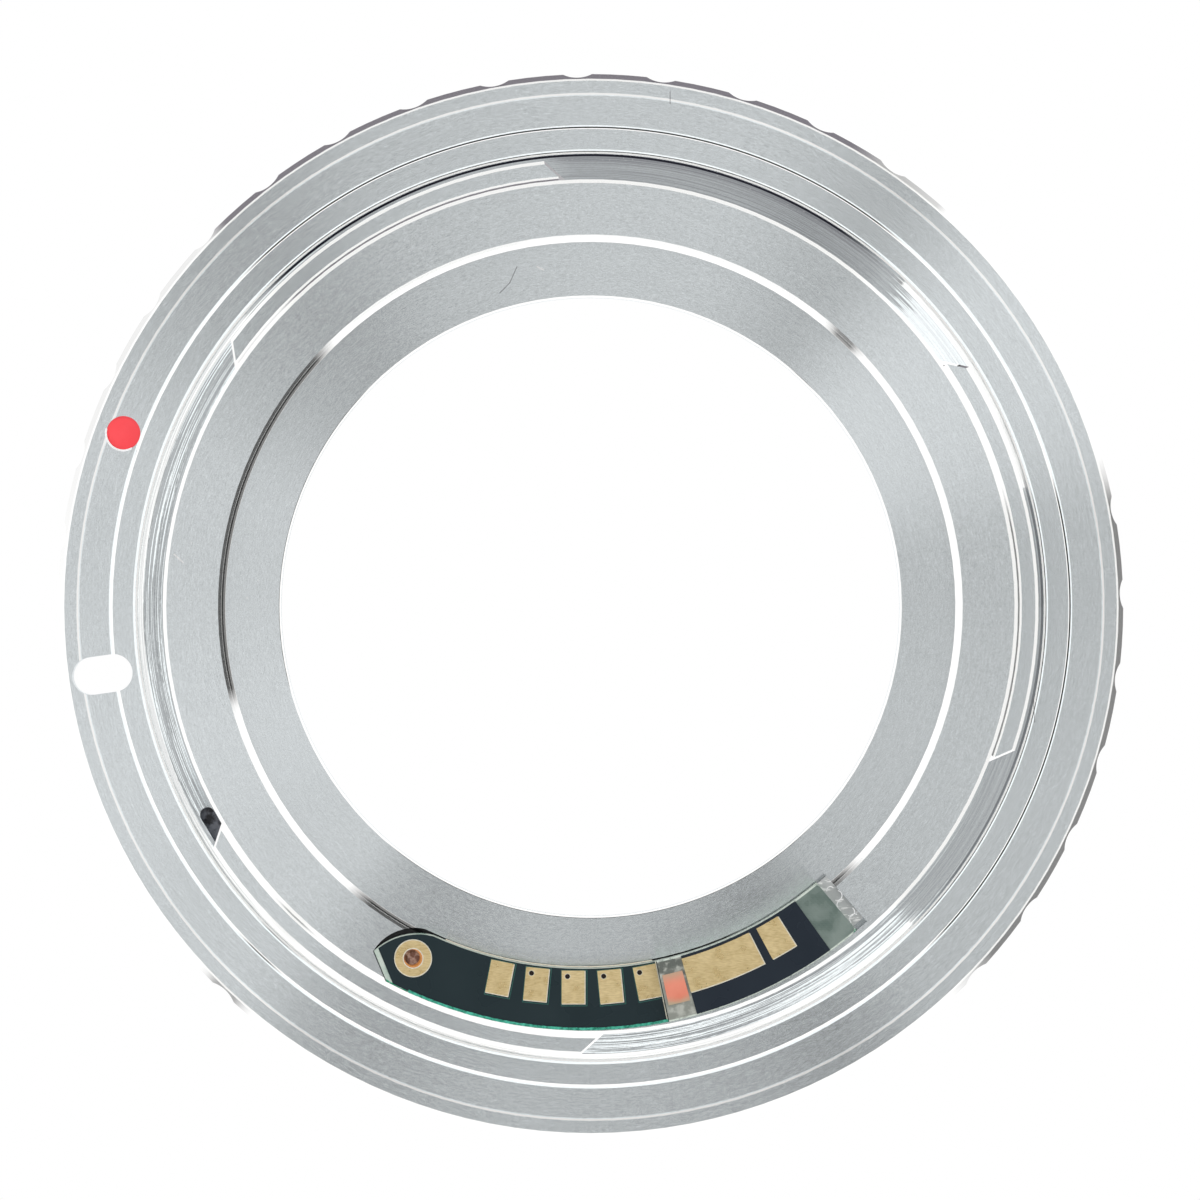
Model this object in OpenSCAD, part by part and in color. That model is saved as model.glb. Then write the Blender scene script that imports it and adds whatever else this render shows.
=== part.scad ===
// Adapter ring between a 42 mm screw thread lens and a bayonet camera body, with a contact board
// in its barrel end. The lens screws in from below against z = 0. The body's mount face meets
// the raised terrace of the flange, and the three lugs turn in behind the body's own.
// Angles are counter-clockwise from +X, seen from the camera side.

/* [Barrel] */
// Major diameter of the lens thread
thread_d = 42; // [38:0.1:46]
// Wall of the barrel, from the thread's major radius to the outside
barrel_wall = 4.72; // [3.8:0.01:6]
// Height of the barrel above the flange's mount face
barrel_h = 5.04; // [4.4:0.01:7]
// Reach of the inner lip past the thread's major radius
lip_reach = 2.37; // [1:0.01:3.5]
// Thickness of the inner lip
lip_t = 1; // [0.8:0.01:1.3]
// Flat width of the lip's face outside the thread's major radius
lip_face_w = 0.97; // [0.6:0.01:1.3]
// Drop from the barrel's end face to the lip's face, down a 45 degree chamfer
lip_drop = 0.42; // [0.2:0.01:0.6]
// Chamfer at the thread's entry
entry_chamfer = 0.5; // [0.2:0.05:0.8]
// Fine chamfer on the turned edges
edge_chamfer = 0.12; // [0.05:0.01:0.2]
// Width of the chamfer round the barrel's end
barrel_chamfer = 0.22; // [0.1:0.01:0.3]
// Rise of the shallow chamfers for each millimetre of their width
shallow_rise = 0.58; // [0.4:0.01:0.8]

/* [Flange] */
// Thickness of the flange, from the lens seat to the mount face
flange_t = 1.46; // [1.2:0.01:3]
// Width of the relief groove round the barrel's foot
groove_w = 1.88; // [1.6:0.01:3]
// Depth of the relief groove
groove_depth = 0.36; // [0.1:0.01:0.6]
// Width of the raised terrace that the body's mount face meets
terrace_w = 1.5; // [1:0.01:2.5]
// Drop from the terrace to the outer face
terrace_drop = 0.14; // [0.05:0.01:0.3]
// Width of the outer face, from the terrace to the turned line
outer_face_w = 2.1; // [1.8:0.01:3]
// Width of the margin outside the turned line
margin_w = 0.98; // [0.5:0.01:1.5]
// Drop across the turned line
line_drop = 0.06; // [0.02:0.01:0.12]
// Width of the turned line
line_w = 0.12; // [0.05:0.01:0.3]

/* [Grip rim] */
// Reach of the rim past the flange's margin
rim_w = 0.32; // [0.25:0.01:0.8]
// Drop from the margin to the rim's top edge
rim_drop = 0.24; // [0.1:0.01:0.4]
// Drop of the rim's sloped top from the flange's edge out to its tips
rim_bevel = 0.32; // [0.2:0.01:0.6]
// Number of scallops round the rim
scallop_count = 40; // [30:1:48]
// Width of a scallop across the rim
scallop_w = 1.8; // [1.2:0.05:2.6]
// Depth of a scallop
scallop_depth = 0.23; // [0.12:0.01:0.35]
// Angle of the first scallop
scallop_start = 1.4; // [0:0.1:9]

/* [Bayonet lugs] */
// Reach of the lugs past the barrel
lug_reach = 1.36; // [1:0.01:1.9]
// Thickness of the lugs
lug_t = 1.5; // [1:0.01:2]
// Gap between the mount face and the lugs' undersides
lug_gap = 1.64; // [1.3:0.01:2]
// Width of the shallow chamfer on the lugs' outer top edges
lug_chamfer = 0.2; // [0.1:0.01:0.35]
// Chamfer on the top edges of the lugs' ends
lug_end_chamfer = 0.13; // [0.08:0.01:0.3]
// Width of the corner left between the lugs' tops and the barrel
lug_fillet = 0.35; // [0.2:0.01:0.45]
// Middle of the first lug at its foot
lug_1_middle = 7; // [0:0.05:12]
// Angle that the first lug's foot covers
lug_1_arc = 57; // [45:0.1:62]
// Angle that the first lug's first end gives up between its foot and its tip
lug_1_first_slant = 2.8; // [1:0.1:5]
// Angle that the first lug's last end gives up
lug_1_last_slant = 3.1; // [1:0.1:5]
// Middle of the second lug at its foot
lug_2_middle = 119.8; // [112:0.1:126]
// Angle that the second lug's foot covers
lug_2_arc = 53.4; // [45:0.1:60]
// Angle that the second lug's first end gives up
lug_2_first_slant = 2.8; // [1:0.1:5]
// Angle that the second lug's last end gives up
lug_2_last_slant = 3.1; // [1:0.1:5]
// Middle of the third lug at its foot
lug_3_middle = 241.1; // [234:0.1:248]
// Angle that the third lug's foot covers
lug_3_arc = 61.9; // [50:0.1:66]
// Angle that the third lug's first end gives up
lug_3_first_slant = 2.5; // [1:0.1:5]
// Angle that the third lug's last end gives up
lug_3_last_slant = 3.3; // [1:0.1:5]

/* [Lock slot, relief pocket and index] */
// Angle of the lock pin's slot
slot_angle = 187.9; // [180:0.1:195]
// Length of the slot along the radius
slot_l = 3.7; // [3:0.05:4]
// Width of the slot
slot_w = 2.3; // [1.6:0.05:3]
// Distance from the slot's outer end to the rim's tips
slot_margin = 0.64; // [0.5:0.01:1.2]
// Width of the relief pocket in the groove, at the third lug's first end
relief_w = 0.93; // [0.6:0.01:1.3]
// Depth of the relief pocket
relief_depth = 0.7; // [0.3:0.01:0.8]
// Length of the relief pocket
relief_l = 3; // [1.5:0.1:4]
// Distance from the barrel to the relief pocket
relief_gap = 0.35; // [0.2:0.01:0.6]
// Angle from the start of the third lug's foot to the relief pocket's middle
relief_shift = 0.6; // [0:0.1:3]
// Angle of the index dot
index_angle = 159.6; // [152:0.1:168]
// Diameter of the index dot
index_d = 2.08; // [1.4:0.01:2.4]
// Depth of the drilled recess under the dot
index_depth = 0.25; // [0.15:0.01:0.4]
// Height of the paint's dome over its edge
index_dome = 0.1; // [0.04:0.01:0.15]
// Distance from the dot's middle to the rim's tips
index_margin = 2.14; // [1.9:0.01:2.6]

/* [Contact board] */
// Shift of the board and its seat along X, off the ring's axis
board_shift = -0.42; // [-0.6:0.01:0.2]
// Depth of the milled seat for the board, below the barrel's end face
seat_depth = 0.8; // [0.6:0.01:1.1]
// Thickness of the adhesive under the board
adhesive_t = 0.05; // [0.03:0.01:0.1]
// Thickness of the lower board
board_t = 0.8; // [0.6:0.05:1.2]
// Thickness of the raised board
raised_t = 0.8; // [0.6:0.05:1.2]
// Reach of the board inward past the lip's chamfer
board_overlap = 0.27; // [0.1:0.01:0.4]
// Set-back of the board's outer edge from the barrel
board_setback = 0.28; // [0.26:0.01:0.4]
// Radius of the board's round end
board_end_r = 3.9; // [3:0.05:4.2]
// Dip of the round end's circle inside the board's inner edge
board_end_dip = 0.06; // [0.02:0.01:0.2]
// Angle of the round end's centre
board_from = 247.1; // [244:0.1:250]
// Direction that the straight cut across the round end faces
end_cut_angle = 202.5; // [190:0.5:215]
// Distance from the round end's centre to the straight cut
end_cut = 1.36; // [1:0.01:2]
// Angle of the raised board's first edge
raised_from = 281.7; // [280:0.05:284]
// Angle of the board's square end
board_to = 310.2; // [307:0.1:314]
// Reach of the raised board's inner edge past the lower board's
raised_reach = 0.02; // [0:0.01:0.3]
// Set-back of the raised board's outer edge from the lower board's
raised_setback = 0.02; // [0:0.01:0.4]
// Radius of the raised board's corners
raised_corner_r = 0.4; // [0.1:0.01:0.6]
// Clearance between the board and the inner wall of its seat
seat_clearance = 0.1; // [0.08:0.01:0.3]
// Radius of the seat's round end
seat_end_r = 2.85; // [2.5:0.05:3.2]
// Angle from the seat's round end back to the board's
seat_end_shift = 1.8; // [1:0.1:2.5]
// Clearance between the straight cut and the seat
end_cut_clearance = 0.06; // [0.05:0.01:0.3]
// Gap between the board's outer edge and the seat's thin outer wall
seat_wall_gap = 0.03; // [0.02:0.01:0.04]
// Gap between the board's square end and the seat's end, filled with glue
glue_gap = 0.7; // [0.3:0.05:1.2]
// Thickness of the solder mask
mask_t = 0.03; // [0.02:0.01:0.05]
// Set-back of the solder mask from the board's edges
mask_inset = 0.06; // [0.02:0.01:0.15]
// Width of bare edge along the straight cut
mask_cut_inset = 0.3; // [0.06:0.01:0.5]
// Angle of bare board at the raised board's first edge
bare_first = 3.9; // [2:0.1:5]
// Angle of bare board at its square end
bare_last = 4.45; // [3:0.05:6]

/* [Contacts] */
// Number of small contacts on the lower board
pad_count = 5; // [4:1:5]
// Angle between neighbouring contacts
pad_pitch = 5.6; // [4.8:0.05:5.7]
// Gap between the last small contact's inner corner and the raised board's edge
last_pad_gap = 0.09; // [0.02:0.01:0.4]
// Length of a contact along the radius
pad_l = 1.98; // [1.4:0.01:2.1]
// Width of a small contact
pad_w = 1.38; // [1:0.01:1.5]
// Turn of each small contact against the radius
pad_turn = 1.5; // [0:0.1:3]
// Thickness of a contact
pad_t = 0.06; // [0.04:0.01:0.1]
// Distance from the board's inner edge to the contacts
pad_inset = 0.17; // [0.08:0.01:0.3]
// Diameter of the plated through holes in the small contacts
via_d = 0.3; // [0.2:0.01:0.4]
// Distance of a through hole from the contact's edges
via_inset = 0.35; // [0.25:0.01:0.5]
// Number of the first small contact that has a through hole
via_first = 2; // [1:1:5]
// Length along the radius of the contacts on the raised board
raised_pad_l = 2.08; // [1.4:0.01:2.2]
// Distance from the board's inner edge to the contacts on the raised board
raised_pad_inset = 0.21; // [0.08:0.01:0.3]
// Angle that the wide contact covers
wide_pad_arc = 11.3; // [8:0.1:12]
// Angle of the gap between the wide and the end contact
pad_gap = 1.35; // [0.6:0.05:2]
// Angle that the end contact covers
end_pad_arc = 3.85; // [3:0.05:4.5]
// Distance from the board's inner edge to the eyelet's middle
eyelet_inset = 1.77; // [1.3:0.01:2.2]
// Angle from the eyelet to the round end's centre
eyelet_shift = 2.95; // [2:0.05:4]
// Outer diameter of the eyelet's flange
eyelet_d = 2.16; // [1.6:0.01:2.4]
// Outer diameter of the eyelet's barrel, which fills the hole in the board
eyelet_barrel_d = 1.2; // [0.9:0.01:1.3]
// Bore of the eyelet
eyelet_bore_d = 0.93; // [0.6:0.01:1]
// Rise of the plug's dome in the eyelet
plug_dome = 0.12; // [0.05:0.01:0.2]
// Length of the amber patch along the radius
patch_l = 1.85; // [1:0.05:2.4]
// Distance from the board's inner edge to the amber patch
patch_inset = 0.9; // [0.4:0.05:1]
// Thickness of the amber patch
patch_t = 0.04; // [0.03:0.01:0.08]

/* [Electronics under the board] */
// Width of the milled cavity along the radius
cavity_w = 2.6; // [2.3:0.05:2.9]
// Length of the cavity between its round ends' centres
cavity_l = 5; // [4.4:0.1:6]
// Depth of the cavity below the board's seat
cavity_depth = 1; // [0.9:0.05:1.4]
// Angle of the cavity's middle
cavity_angle = 262; // [258:0.1:266]
// Length of the microcontroller across the radius
chip_l = 3; // [2.5:0.05:3.3]
// Width of the microcontroller along the radius
chip_w = 2; // [1.6:0.05:2.1]
// Height of the microcontroller
chip_h = 0.75; // [0.6:0.01:0.8]
// Number of solder joints along each side of the microcontroller
joint_count = 4; // [2:1:4]
// Height of the solder joints
solder_t = 0.05; // [0.03:0.01:0.08]
// Length of the capacitor along the radius
capacitor_l = 1; // [0.8:0.05:1.6]
// Width and height of the capacitor
capacitor_w = 0.5; // [0.4:0.05:0.7]
// Gap between the microcontroller and the capacitor
part_gap = 0.6; // [0.3:0.05:0.7]

/* [Hidden] */
$fn = 180;
eps = 0.5;

function polar(r, a) = [r * cos(a), r * sin(a)];

// Radii of the ring, worked outward from the thread
thread_r = thread_d / 2;
lip_r = thread_r - lip_reach;
lip_edge_r = thread_r + lip_face_w;
barrel_r = thread_r + barrel_wall;
lug_r = barrel_r + lug_reach;
terrace_in_r = barrel_r + groove_w;
terrace_r = terrace_in_r + terrace_w;
line_r = terrace_r + outer_face_w;
flange_r = line_r + margin_w;
rim_r = flange_r + rim_w;

// Heights of the ring, worked up from the lens seat
groove_z = flange_t - groove_depth;
outer_z = flange_t - terrace_drop;
margin_z = outer_z - line_drop;
rim_z = margin_z - rim_drop;
barrel_z = flange_t + barrel_h;
lip_z = barrel_z - lip_drop;
lip_under_z = lip_z - lip_t;
lug_under_z = flange_t + lug_gap;
lug_z = lug_under_z + lug_t;

// The corner over the lugs starts shallow and turns to 45 degrees at its break
fillet_break = 0.6 * lug_fillet;
fillet_z = lug_z + (lug_fillet - fillet_break) * shallow_rise;

// A scallop is the bite of a round cutter that stands outside the rim
scallop_r = (pow(scallop_w / 2, 2) + pow(scallop_depth, 2)) / (2 * scallop_depth);
slot_r = rim_r - slot_margin - slot_l / 2;
index_r = rim_r - index_margin;
relief_r = barrel_r + relief_gap + relief_w / 2;
relief_angle = lug_3_middle - lug_3_arc / 2 + relief_shift;

// Each lug as its middle, its arc, and the slants of its first and last ends
lugs = [
    [lug_1_middle, lug_1_arc, lug_1_first_slant, lug_1_last_slant],
    [lug_2_middle, lug_2_arc, lug_2_first_slant, lug_2_last_slant],
    [lug_3_middle, lug_3_arc, lug_3_first_slant, lug_3_last_slant]
];

// Heights and radii of the board and what lies on it
seat_z = barrel_z - seat_depth;
board_z = seat_z + adhesive_t;
board_top_z = board_z + board_t;
raised_top_z = board_top_z + raised_t;
board_in_r = lip_edge_r - board_overlap;
board_out_r = barrel_r - board_setback;
raised_in_r = board_in_r - raised_reach;
raised_out_r = board_out_r - raised_setback;
glue_arc = glue_gap / board_in_r * 180 / PI;
pad_r = board_in_r + pad_inset + pad_l / 2;
last_pad_angle = raised_from - asin((pad_w / 2 + last_pad_gap) / (pad_r - pad_l / 2));
first_pad_angle = last_pad_angle - (pad_count - 1) * pad_pitch;
wide_pad_from = raised_from + bare_first;
end_pad_from = wide_pad_from + wide_pad_arc + pad_gap;
raised_pad_r = board_in_r + raised_pad_inset + raised_pad_l / 2;
board_end = polar(board_in_r + board_end_r - board_end_dip, board_from);
eyelet_r = board_in_r + eyelet_inset;
eyelet_angle = board_from - eyelet_shift;
cavity_r = barrel_r - board_setback - cavity_w / 2 - 0.6;
chip_shift = -(part_gap + capacitor_w) / 2;
capacitor_shift = (chip_l + part_gap) / 2;

function lug_from(i) = lugs[i][0] - lugs[i][1] / 2;
function lug_to(i) = lugs[i][0] + lugs[i][1] / 2;
function pad_angle(i) = first_pad_angle + (i - 1) * pad_pitch;

// Places its children at an angle and radius, with x along the radius
module at_polar(r, a) {
    rotate(a) translate([r, 0]) children();
}

// The part of the plane between two angles, out past the rim
module wedge(from, to) {
    steps = ceil((to - from) / 30);
    arc = [for (i = [0:steps]) polar(2 * rim_r, from + (to - from) * i / steps)];
    polygon(concat([[0, 0]], arc));
}

// The board's parts are laid out about their own centre, which is off the ring's axis
module on_board() {
    translate([board_shift, 0, 0]) children();
}

module annulus(r_in, r_out) {
    difference() {
        circle(r_out);
        circle(r_in);
    }
}

// A flat sector of a ring between two radii and two angles
module sector(r_in, r_out, from, to) {
    intersection() {
        annulus(r_in, r_out);
        wedge(from, to);
    }
}

// The turned section of the ring, from the lens seat round to the thread
module ring_section() {
    polygon([
        [thread_r + entry_chamfer, 0],
        [rim_r - edge_chamfer, 0],
        [rim_r, edge_chamfer],
        [rim_r, rim_z - rim_bevel],
        [flange_r, rim_z],
        [flange_r, margin_z - edge_chamfer * shallow_rise],
        [flange_r - edge_chamfer, margin_z],
        [line_r + line_w, margin_z],
        [line_r, outer_z],
        [terrace_r + terrace_drop, outer_z],
        [terrace_r, flange_t],
        [terrace_in_r + edge_chamfer, flange_t],
        [terrace_in_r, flange_t - edge_chamfer * shallow_rise],
        [terrace_in_r, groove_z],
        [barrel_r, groove_z],
        [barrel_r, barrel_z - barrel_chamfer * shallow_rise],
        [barrel_r - barrel_chamfer, barrel_z],
        [lip_edge_r + lip_drop, barrel_z],
        [lip_edge_r, lip_z],
        [lip_r + edge_chamfer, lip_z],
        [lip_r, lip_z - edge_chamfer],
        [lip_r, lip_under_z],
        [thread_r, lip_under_z],
        [thread_r, entry_chamfer]
    ]);
}

// The lugs' section, before the gaps between them are milled away
module lug_section() {
    polygon([
        [barrel_r - eps, lug_under_z],
        [lug_r - edge_chamfer, lug_under_z],
        [lug_r, lug_under_z + edge_chamfer],
        [lug_r, lug_z - lug_chamfer * shallow_rise],
        [lug_r - lug_chamfer, lug_z],
        [barrel_r + lug_fillet, lug_z],
        [barrel_r + fillet_break, fillet_z],
        [barrel_r, fillet_z + fillet_break],
        [barrel_r - eps, fillet_z + fillet_break]
    ]);
}

// A point on the slanted end line of lug i: 0 is its foot on the barrel, 1 is its tip. The side
// is 1 for a lug's last end and -1 for its first.
function end_point(i, side, t) =
    let (
        foot_angle = side > 0 ? lug_to(i) : lug_from(i),
        slant = side > 0 ? lugs[i][3] : -lugs[i][2],
        foot = polar(barrel_r, foot_angle),
        tip = polar(lug_r, foot_angle - slant)
    )
    foot + t * (tip - foot);

// The gap from the last end of lug i round to the next lug's first end
module lug_gap(i) {
    next = (i + 1) % 3;
    from = lug_to(i);
    to = lug_from(next) + (next == 0 ? 360 : 0);
    steps = ceil((to - from) / 30);
    far = [for (k = [0:steps]) polar(2 * lug_r, from + (to - from) * k / steps)];
    past_tip = 3;
    inside_foot = -0.4;
    translate([0, 0, lug_under_z - eps]) linear_extrude(lug_t + lug_fillet + 2 * eps) difference() {
        polygon(concat(
            [end_point(i, 1, inside_foot), end_point(i, 1, past_tip)],
            far,
            [end_point(next, -1, past_tip), end_point(next, -1, inside_foot)]
        ));
        circle(barrel_r);
    }
}

// The chamfer along the top edge of a lug's slanted end, which stops at the barrel
module lug_end_bevel(i, side) {
    foot = end_point(i, side, 0);
    run = end_point(i, side, 1) - foot;
    long = 4 * lug_reach;
    difference() {
        translate([foot.x, foot.y, lug_z]) rotate(atan2(run.y, run.x))
            mirror([0, side > 0 ? 0 : 1, 0]) translate([-long / 4, -lug_end_chamfer, 0])
                rotate([-45, 0, 0]) translate([0, -2 * eps, 0])
                    cube([long, 2 * lug_end_chamfer + 2 * eps, 2 * eps]);
        cylinder(r = barrel_r, h = barrel_z);
    }
}

module scallops() {
    for (i = [0:scallop_count - 1])
        at_polar(rim_r - scallop_depth + scallop_r, scallop_start + i * 360 / scallop_count)
            translate([0, 0, -eps]) cylinder(r = scallop_r, h = flange_t + 2 * eps, $fn = 96);
}

// A straight slot with round ends, its length along y
module round_slot(l, w, h) {
    translate([-w / 2, -l / 2, 0]) cube([w, l, h]);
    for (y = [-l / 2, l / 2])
        translate([0, y, 0]) cylinder(d = w, h = h, $fn = 48);
}

// The lock pin passes right through the flange
module lock_slot() {
    at_polar(slot_r, slot_angle) rotate(90)
        translate([0, 0, -eps]) round_slot(slot_l - slot_w, slot_w, flange_t + 2 * eps);
}

// A cutter's short path along the groove, which runs in under the third lug's end
module relief_pocket() {
    at_polar(relief_r, relief_angle) translate([0, 0, groove_z - relief_depth])
        round_slot(relief_l - relief_w, relief_w, relief_depth + eps);
}

// A sector with a round first end, whose circle crosses the inner arc at a slight corner. The
// circle is cut straight across at a distance from the board's round end.
module round_ended_sector(r_in, r_out, end_r, from, to, cut) {
    intersection() {
        annulus(r_in, r_out);
        difference() {
            union() {
                wedge(from, to);
                at_polar(r_in + end_r - board_end_dip, from) circle(end_r);
            }
            translate(board_end) rotate(end_cut_angle)
                translate([cut, -2 * board_end_r]) square([board_end_r, 4 * board_end_r]);
        }
    }
}

// The board's outline, drawn in by an inset, with its square end at a given angle
module board_plan(inset, to, cut_inset) {
    round_ended_sector(
        board_in_r + inset,
        board_out_r - inset,
        board_end_r - inset,
        board_from,
        to,
        end_cut - cut_inset
    );
}

// The milled seat follows the board with a clearance, and leaves a thin wall outside it
module board_seat() {
    on_board() translate([0, 0, seat_z]) linear_extrude(seat_depth + eps)
        round_ended_sector(
            board_in_r - seat_clearance,
            board_out_r + seat_wall_gap,
            seat_end_r,
            board_from - seat_end_shift,
            board_to + glue_arc,
            end_cut + end_cut_clearance
        );
}

module cavity() {
    on_board() at_polar(cavity_r, cavity_angle) translate([0, 0, seat_z - cavity_depth])
        round_slot(cavity_l, cavity_w, cavity_depth + eps);
}

// The cavity's outline, for the opening in the adhesive
module cavity_plan() {
    at_polar(cavity_r, cavity_angle) {
        square([cavity_w, cavity_l], center = true);
        for (y = [-cavity_l / 2, cavity_l / 2])
            translate([0, y]) circle(d = cavity_w, $fn = 48);
    }
}

module index_recess() {
    at_polar(index_r, index_angle) translate([0, 0, outer_z - index_depth])
        cylinder(d = index_d, h = index_depth + eps, $fn = 64);
}

module adapter_ring() {
    color("silver") difference() {
        rotate_extrude() {
            ring_section();
            lug_section();
        }
        for (i = [0:2]) {
            lug_gap(i);
            lug_end_bevel(i, -1);
            lug_end_bevel(i, 1);
        }
        scallops();
        lock_slot();
        relief_pocket();
        index_recess();
        board_seat();
        cavity();
    }
}

// Paint that fills the recess, with its top a shallow cap of a large sphere
module index_dot() {
    cap_r = (pow(index_d / 2, 2) + pow(index_dome, 2)) / (2 * index_dome);
    edge_z = outer_z - index_dome;
    color("red") at_polar(index_r, index_angle) intersection() {
        translate([0, 0, outer_z - index_depth]) cylinder(d = index_d, h = index_depth, $fn = 64);
        translate([0, 0, edge_z + index_dome - cap_r]) sphere(r = cap_r, $fn = 180);
    }
}

module board_adhesive() {
    color("ivory") on_board() translate([0, 0, seat_z]) linear_extrude(adhesive_t) difference() {
        board_plan(seat_clearance, board_to, seat_clearance);
        cavity_plan();
        eyelet_hole_plan();
    }
}

// Set glue in the gap at the board's square end
module glue_bead() {
    color("whitesmoke") on_board() translate([0, 0, seat_z]) linear_extrude(0.8 * seat_depth)
        sector(board_in_r + seat_clearance, board_out_r - 3 * seat_clearance, board_to, board_to + glue_arc);
}

module eyelet_hole_plan() {
    at_polar(eyelet_r, eyelet_angle) circle(d = eyelet_barrel_d, $fn = 48);
}

module via_plan(i) {
    at_polar(pad_r, pad_angle(i)) rotate(pad_turn)
        translate([via_inset - pad_l / 2, via_inset - pad_w / 2]) circle(d = via_d, $fn = 32);
}

module pad_plan(i) {
    at_polar(pad_r, pad_angle(i)) rotate(pad_turn) square([pad_l, pad_w], center = true);
}

module contact_board() {
    color("darkolivegreen") on_board() translate([0, 0, board_z]) linear_extrude(board_t) difference() {
        board_plan(0, board_to, 0);
        eyelet_hole_plan();
        for (i = [via_first:pad_count]) via_plan(i);
    }
}

// Solder mask on the lower board, with a window round each contact and the eyelet
module board_mask() {
    color("darkslategray") on_board() translate([0, 0, board_top_z]) linear_extrude(mask_t)
        difference() {
            board_plan(mask_inset, raised_from, mask_cut_inset);
            for (i = [1:pad_count]) pad_plan(i);
            at_polar(eyelet_r, eyelet_angle) circle(d = eyelet_d, $fn = 64);
        }
}

module contact_pad(i) {
    color("gold") on_board() translate([0, 0, board_top_z]) linear_extrude(pad_t) difference() {
        pad_plan(i);
        if (i >= via_first) via_plan(i);
    }
}

// A plated tube through the board with a flat flange on top
module eyelet() {
    color("gold") on_board() at_polar(eyelet_r, eyelet_angle) difference() {
        union() {
            translate([0, 0, board_z]) cylinder(d = eyelet_barrel_d, h = board_t + pad_t, $fn = 48);
            translate([0, 0, board_top_z]) cylinder(d = eyelet_d, h = pad_t, $fn = 64);
        }
        translate([0, 0, board_z - eps])
            cylinder(d = eyelet_bore_d, h = board_t + pad_t + 2 * eps, $fn = 48);
    }
}

module eyelet_plug() {
    cap_r = (pow(eyelet_bore_d / 2, 2) + pow(plug_dome, 2)) / (2 * plug_dome);
    top_z = board_top_z + pad_t;
    color("sienna") on_board() at_polar(eyelet_r, eyelet_angle) intersection() {
        translate([0, 0, board_z]) cylinder(d = eyelet_bore_d, h = board_t + pad_t, $fn = 48);
        translate([0, 0, top_z - cap_r]) sphere(r = cap_r, $fn = 96);
    }
}

// What rounding takes off the square end's corner, from the round's centre out past the arc
module corner_cut(centre_r, past_r) {
    x = sqrt(pow(centre_r, 2) - pow(raised_corner_r, 2));
    centre = [x, -raised_corner_r];
    rotate(board_to) difference() {
        polygon([centre, centre * past_r / centre_r, [past_r, eps], [x, eps]]);
        translate(centre) circle(raised_corner_r, $fn = 48);
    }
}

module raised_plan() {
    difference() {
        sector(raised_in_r, raised_out_r, raised_from, board_to);
        corner_cut(raised_in_r + raised_corner_r, raised_in_r - eps);
        corner_cut(raised_out_r - raised_corner_r, raised_out_r + eps);
    }
}

module raised_board() {
    color("darkseagreen") on_board() translate([0, 0, board_top_z]) linear_extrude(raised_t)
        raised_plan();
}

module raised_mask() {
    color("darkslategray") on_board() translate([0, 0, raised_top_z]) linear_extrude(mask_t)
        difference() {
            sector(
                raised_in_r + mask_inset,
                raised_out_r - mask_inset,
                wide_pad_from,
                board_to - bare_last
            );
            raised_pad_plan(wide_pad_from, wide_pad_arc);
            raised_pad_plan(end_pad_from, end_pad_arc);
        }
}

module raised_pad_plan(from, arc) {
    sector(raised_pad_r - raised_pad_l / 2, raised_pad_r + raised_pad_l / 2, from, from + arc);
}

module wide_contact_pad() {
    color("gold") on_board() translate([0, 0, raised_top_z]) linear_extrude(pad_t)
        raised_pad_plan(wide_pad_from, wide_pad_arc);
}

module end_contact_pad() {
    color("gold") on_board() translate([0, 0, raised_top_z]) linear_extrude(pad_t)
        raised_pad_plan(end_pad_from, end_pad_arc);
}

// A thin amber patch on the bare strip beside the wide contact
module amber_patch() {
    margin = bare_first * 0.1;
    color("orange") on_board() translate([0, 0, raised_top_z]) linear_extrude(patch_t)
        sector(
            board_in_r + patch_inset,
            board_in_r + patch_inset + patch_l,
            raised_from + margin,
            wide_pad_from - margin
        );
}

// The microcontroller hangs under the board in the cavity, on its solder joints
module microcontroller() {
    color("dimgray") on_board() at_polar(cavity_r, cavity_angle)
        translate([-chip_w / 2, chip_shift - chip_l / 2, board_z - solder_t - chip_h])
            cube([chip_w, chip_l, chip_h]);
}

module microcontroller_solder() {
    joint_pitch = chip_l / joint_count;
    joint_w = joint_pitch / 2;
    joint_l = chip_w / 5;
    color("lightgray") on_board() at_polar(cavity_r, cavity_angle)
        for (i = [0:joint_count - 1], side = [-1, 1])
            translate([
                side * (chip_w - joint_l) / 2 - joint_l / 2,
                chip_shift - chip_l / 2 + (i + 0.5) * joint_pitch - joint_w / 2,
                board_z - solder_t
            ]) cube([joint_l, joint_w, solder_t]);
}

module capacitor_block(x, l) {
    on_board() at_polar(cavity_r, cavity_angle)
        translate([x, capacitor_shift - capacitor_w / 2, board_z - capacitor_w])
            cube([l, capacitor_w, capacitor_w]);
}

module capacitor() {
    color("tan") capacitor_block(-capacitor_l / 4, capacitor_l / 2);
}

module capacitor_ends() {
    color("silver") {
        capacitor_block(-capacitor_l / 2, capacitor_l / 4);
        capacitor_block(capacitor_l / 4, capacitor_l / 4);
    }
}

adapter_ring();
index_dot();
board_adhesive();
glue_bead();
contact_board();
board_mask();
for (i = [1:pad_count])
    contact_pad(i);
eyelet();
eyelet_plug();
raised_board();
raised_mask();
wide_contact_pad();
end_contact_pad();
amber_patch();
microcontroller();
microcontroller_solder();
capacitor();
capacitor_ends();
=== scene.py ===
# %% [markdown]
# A lens mount adapter is one turned aluminium ring with three milled lugs and a small circuit
# board let into its end. The solids come from the CAD file and are right already, so this lesson
# dresses them: it gives each one a finish, adds the screw thread and the small worn details that
# a CAD model leaves out, and lights the whole as a product photographer lights bright metal.

# %% Load the solids and keep their box
import math

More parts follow.
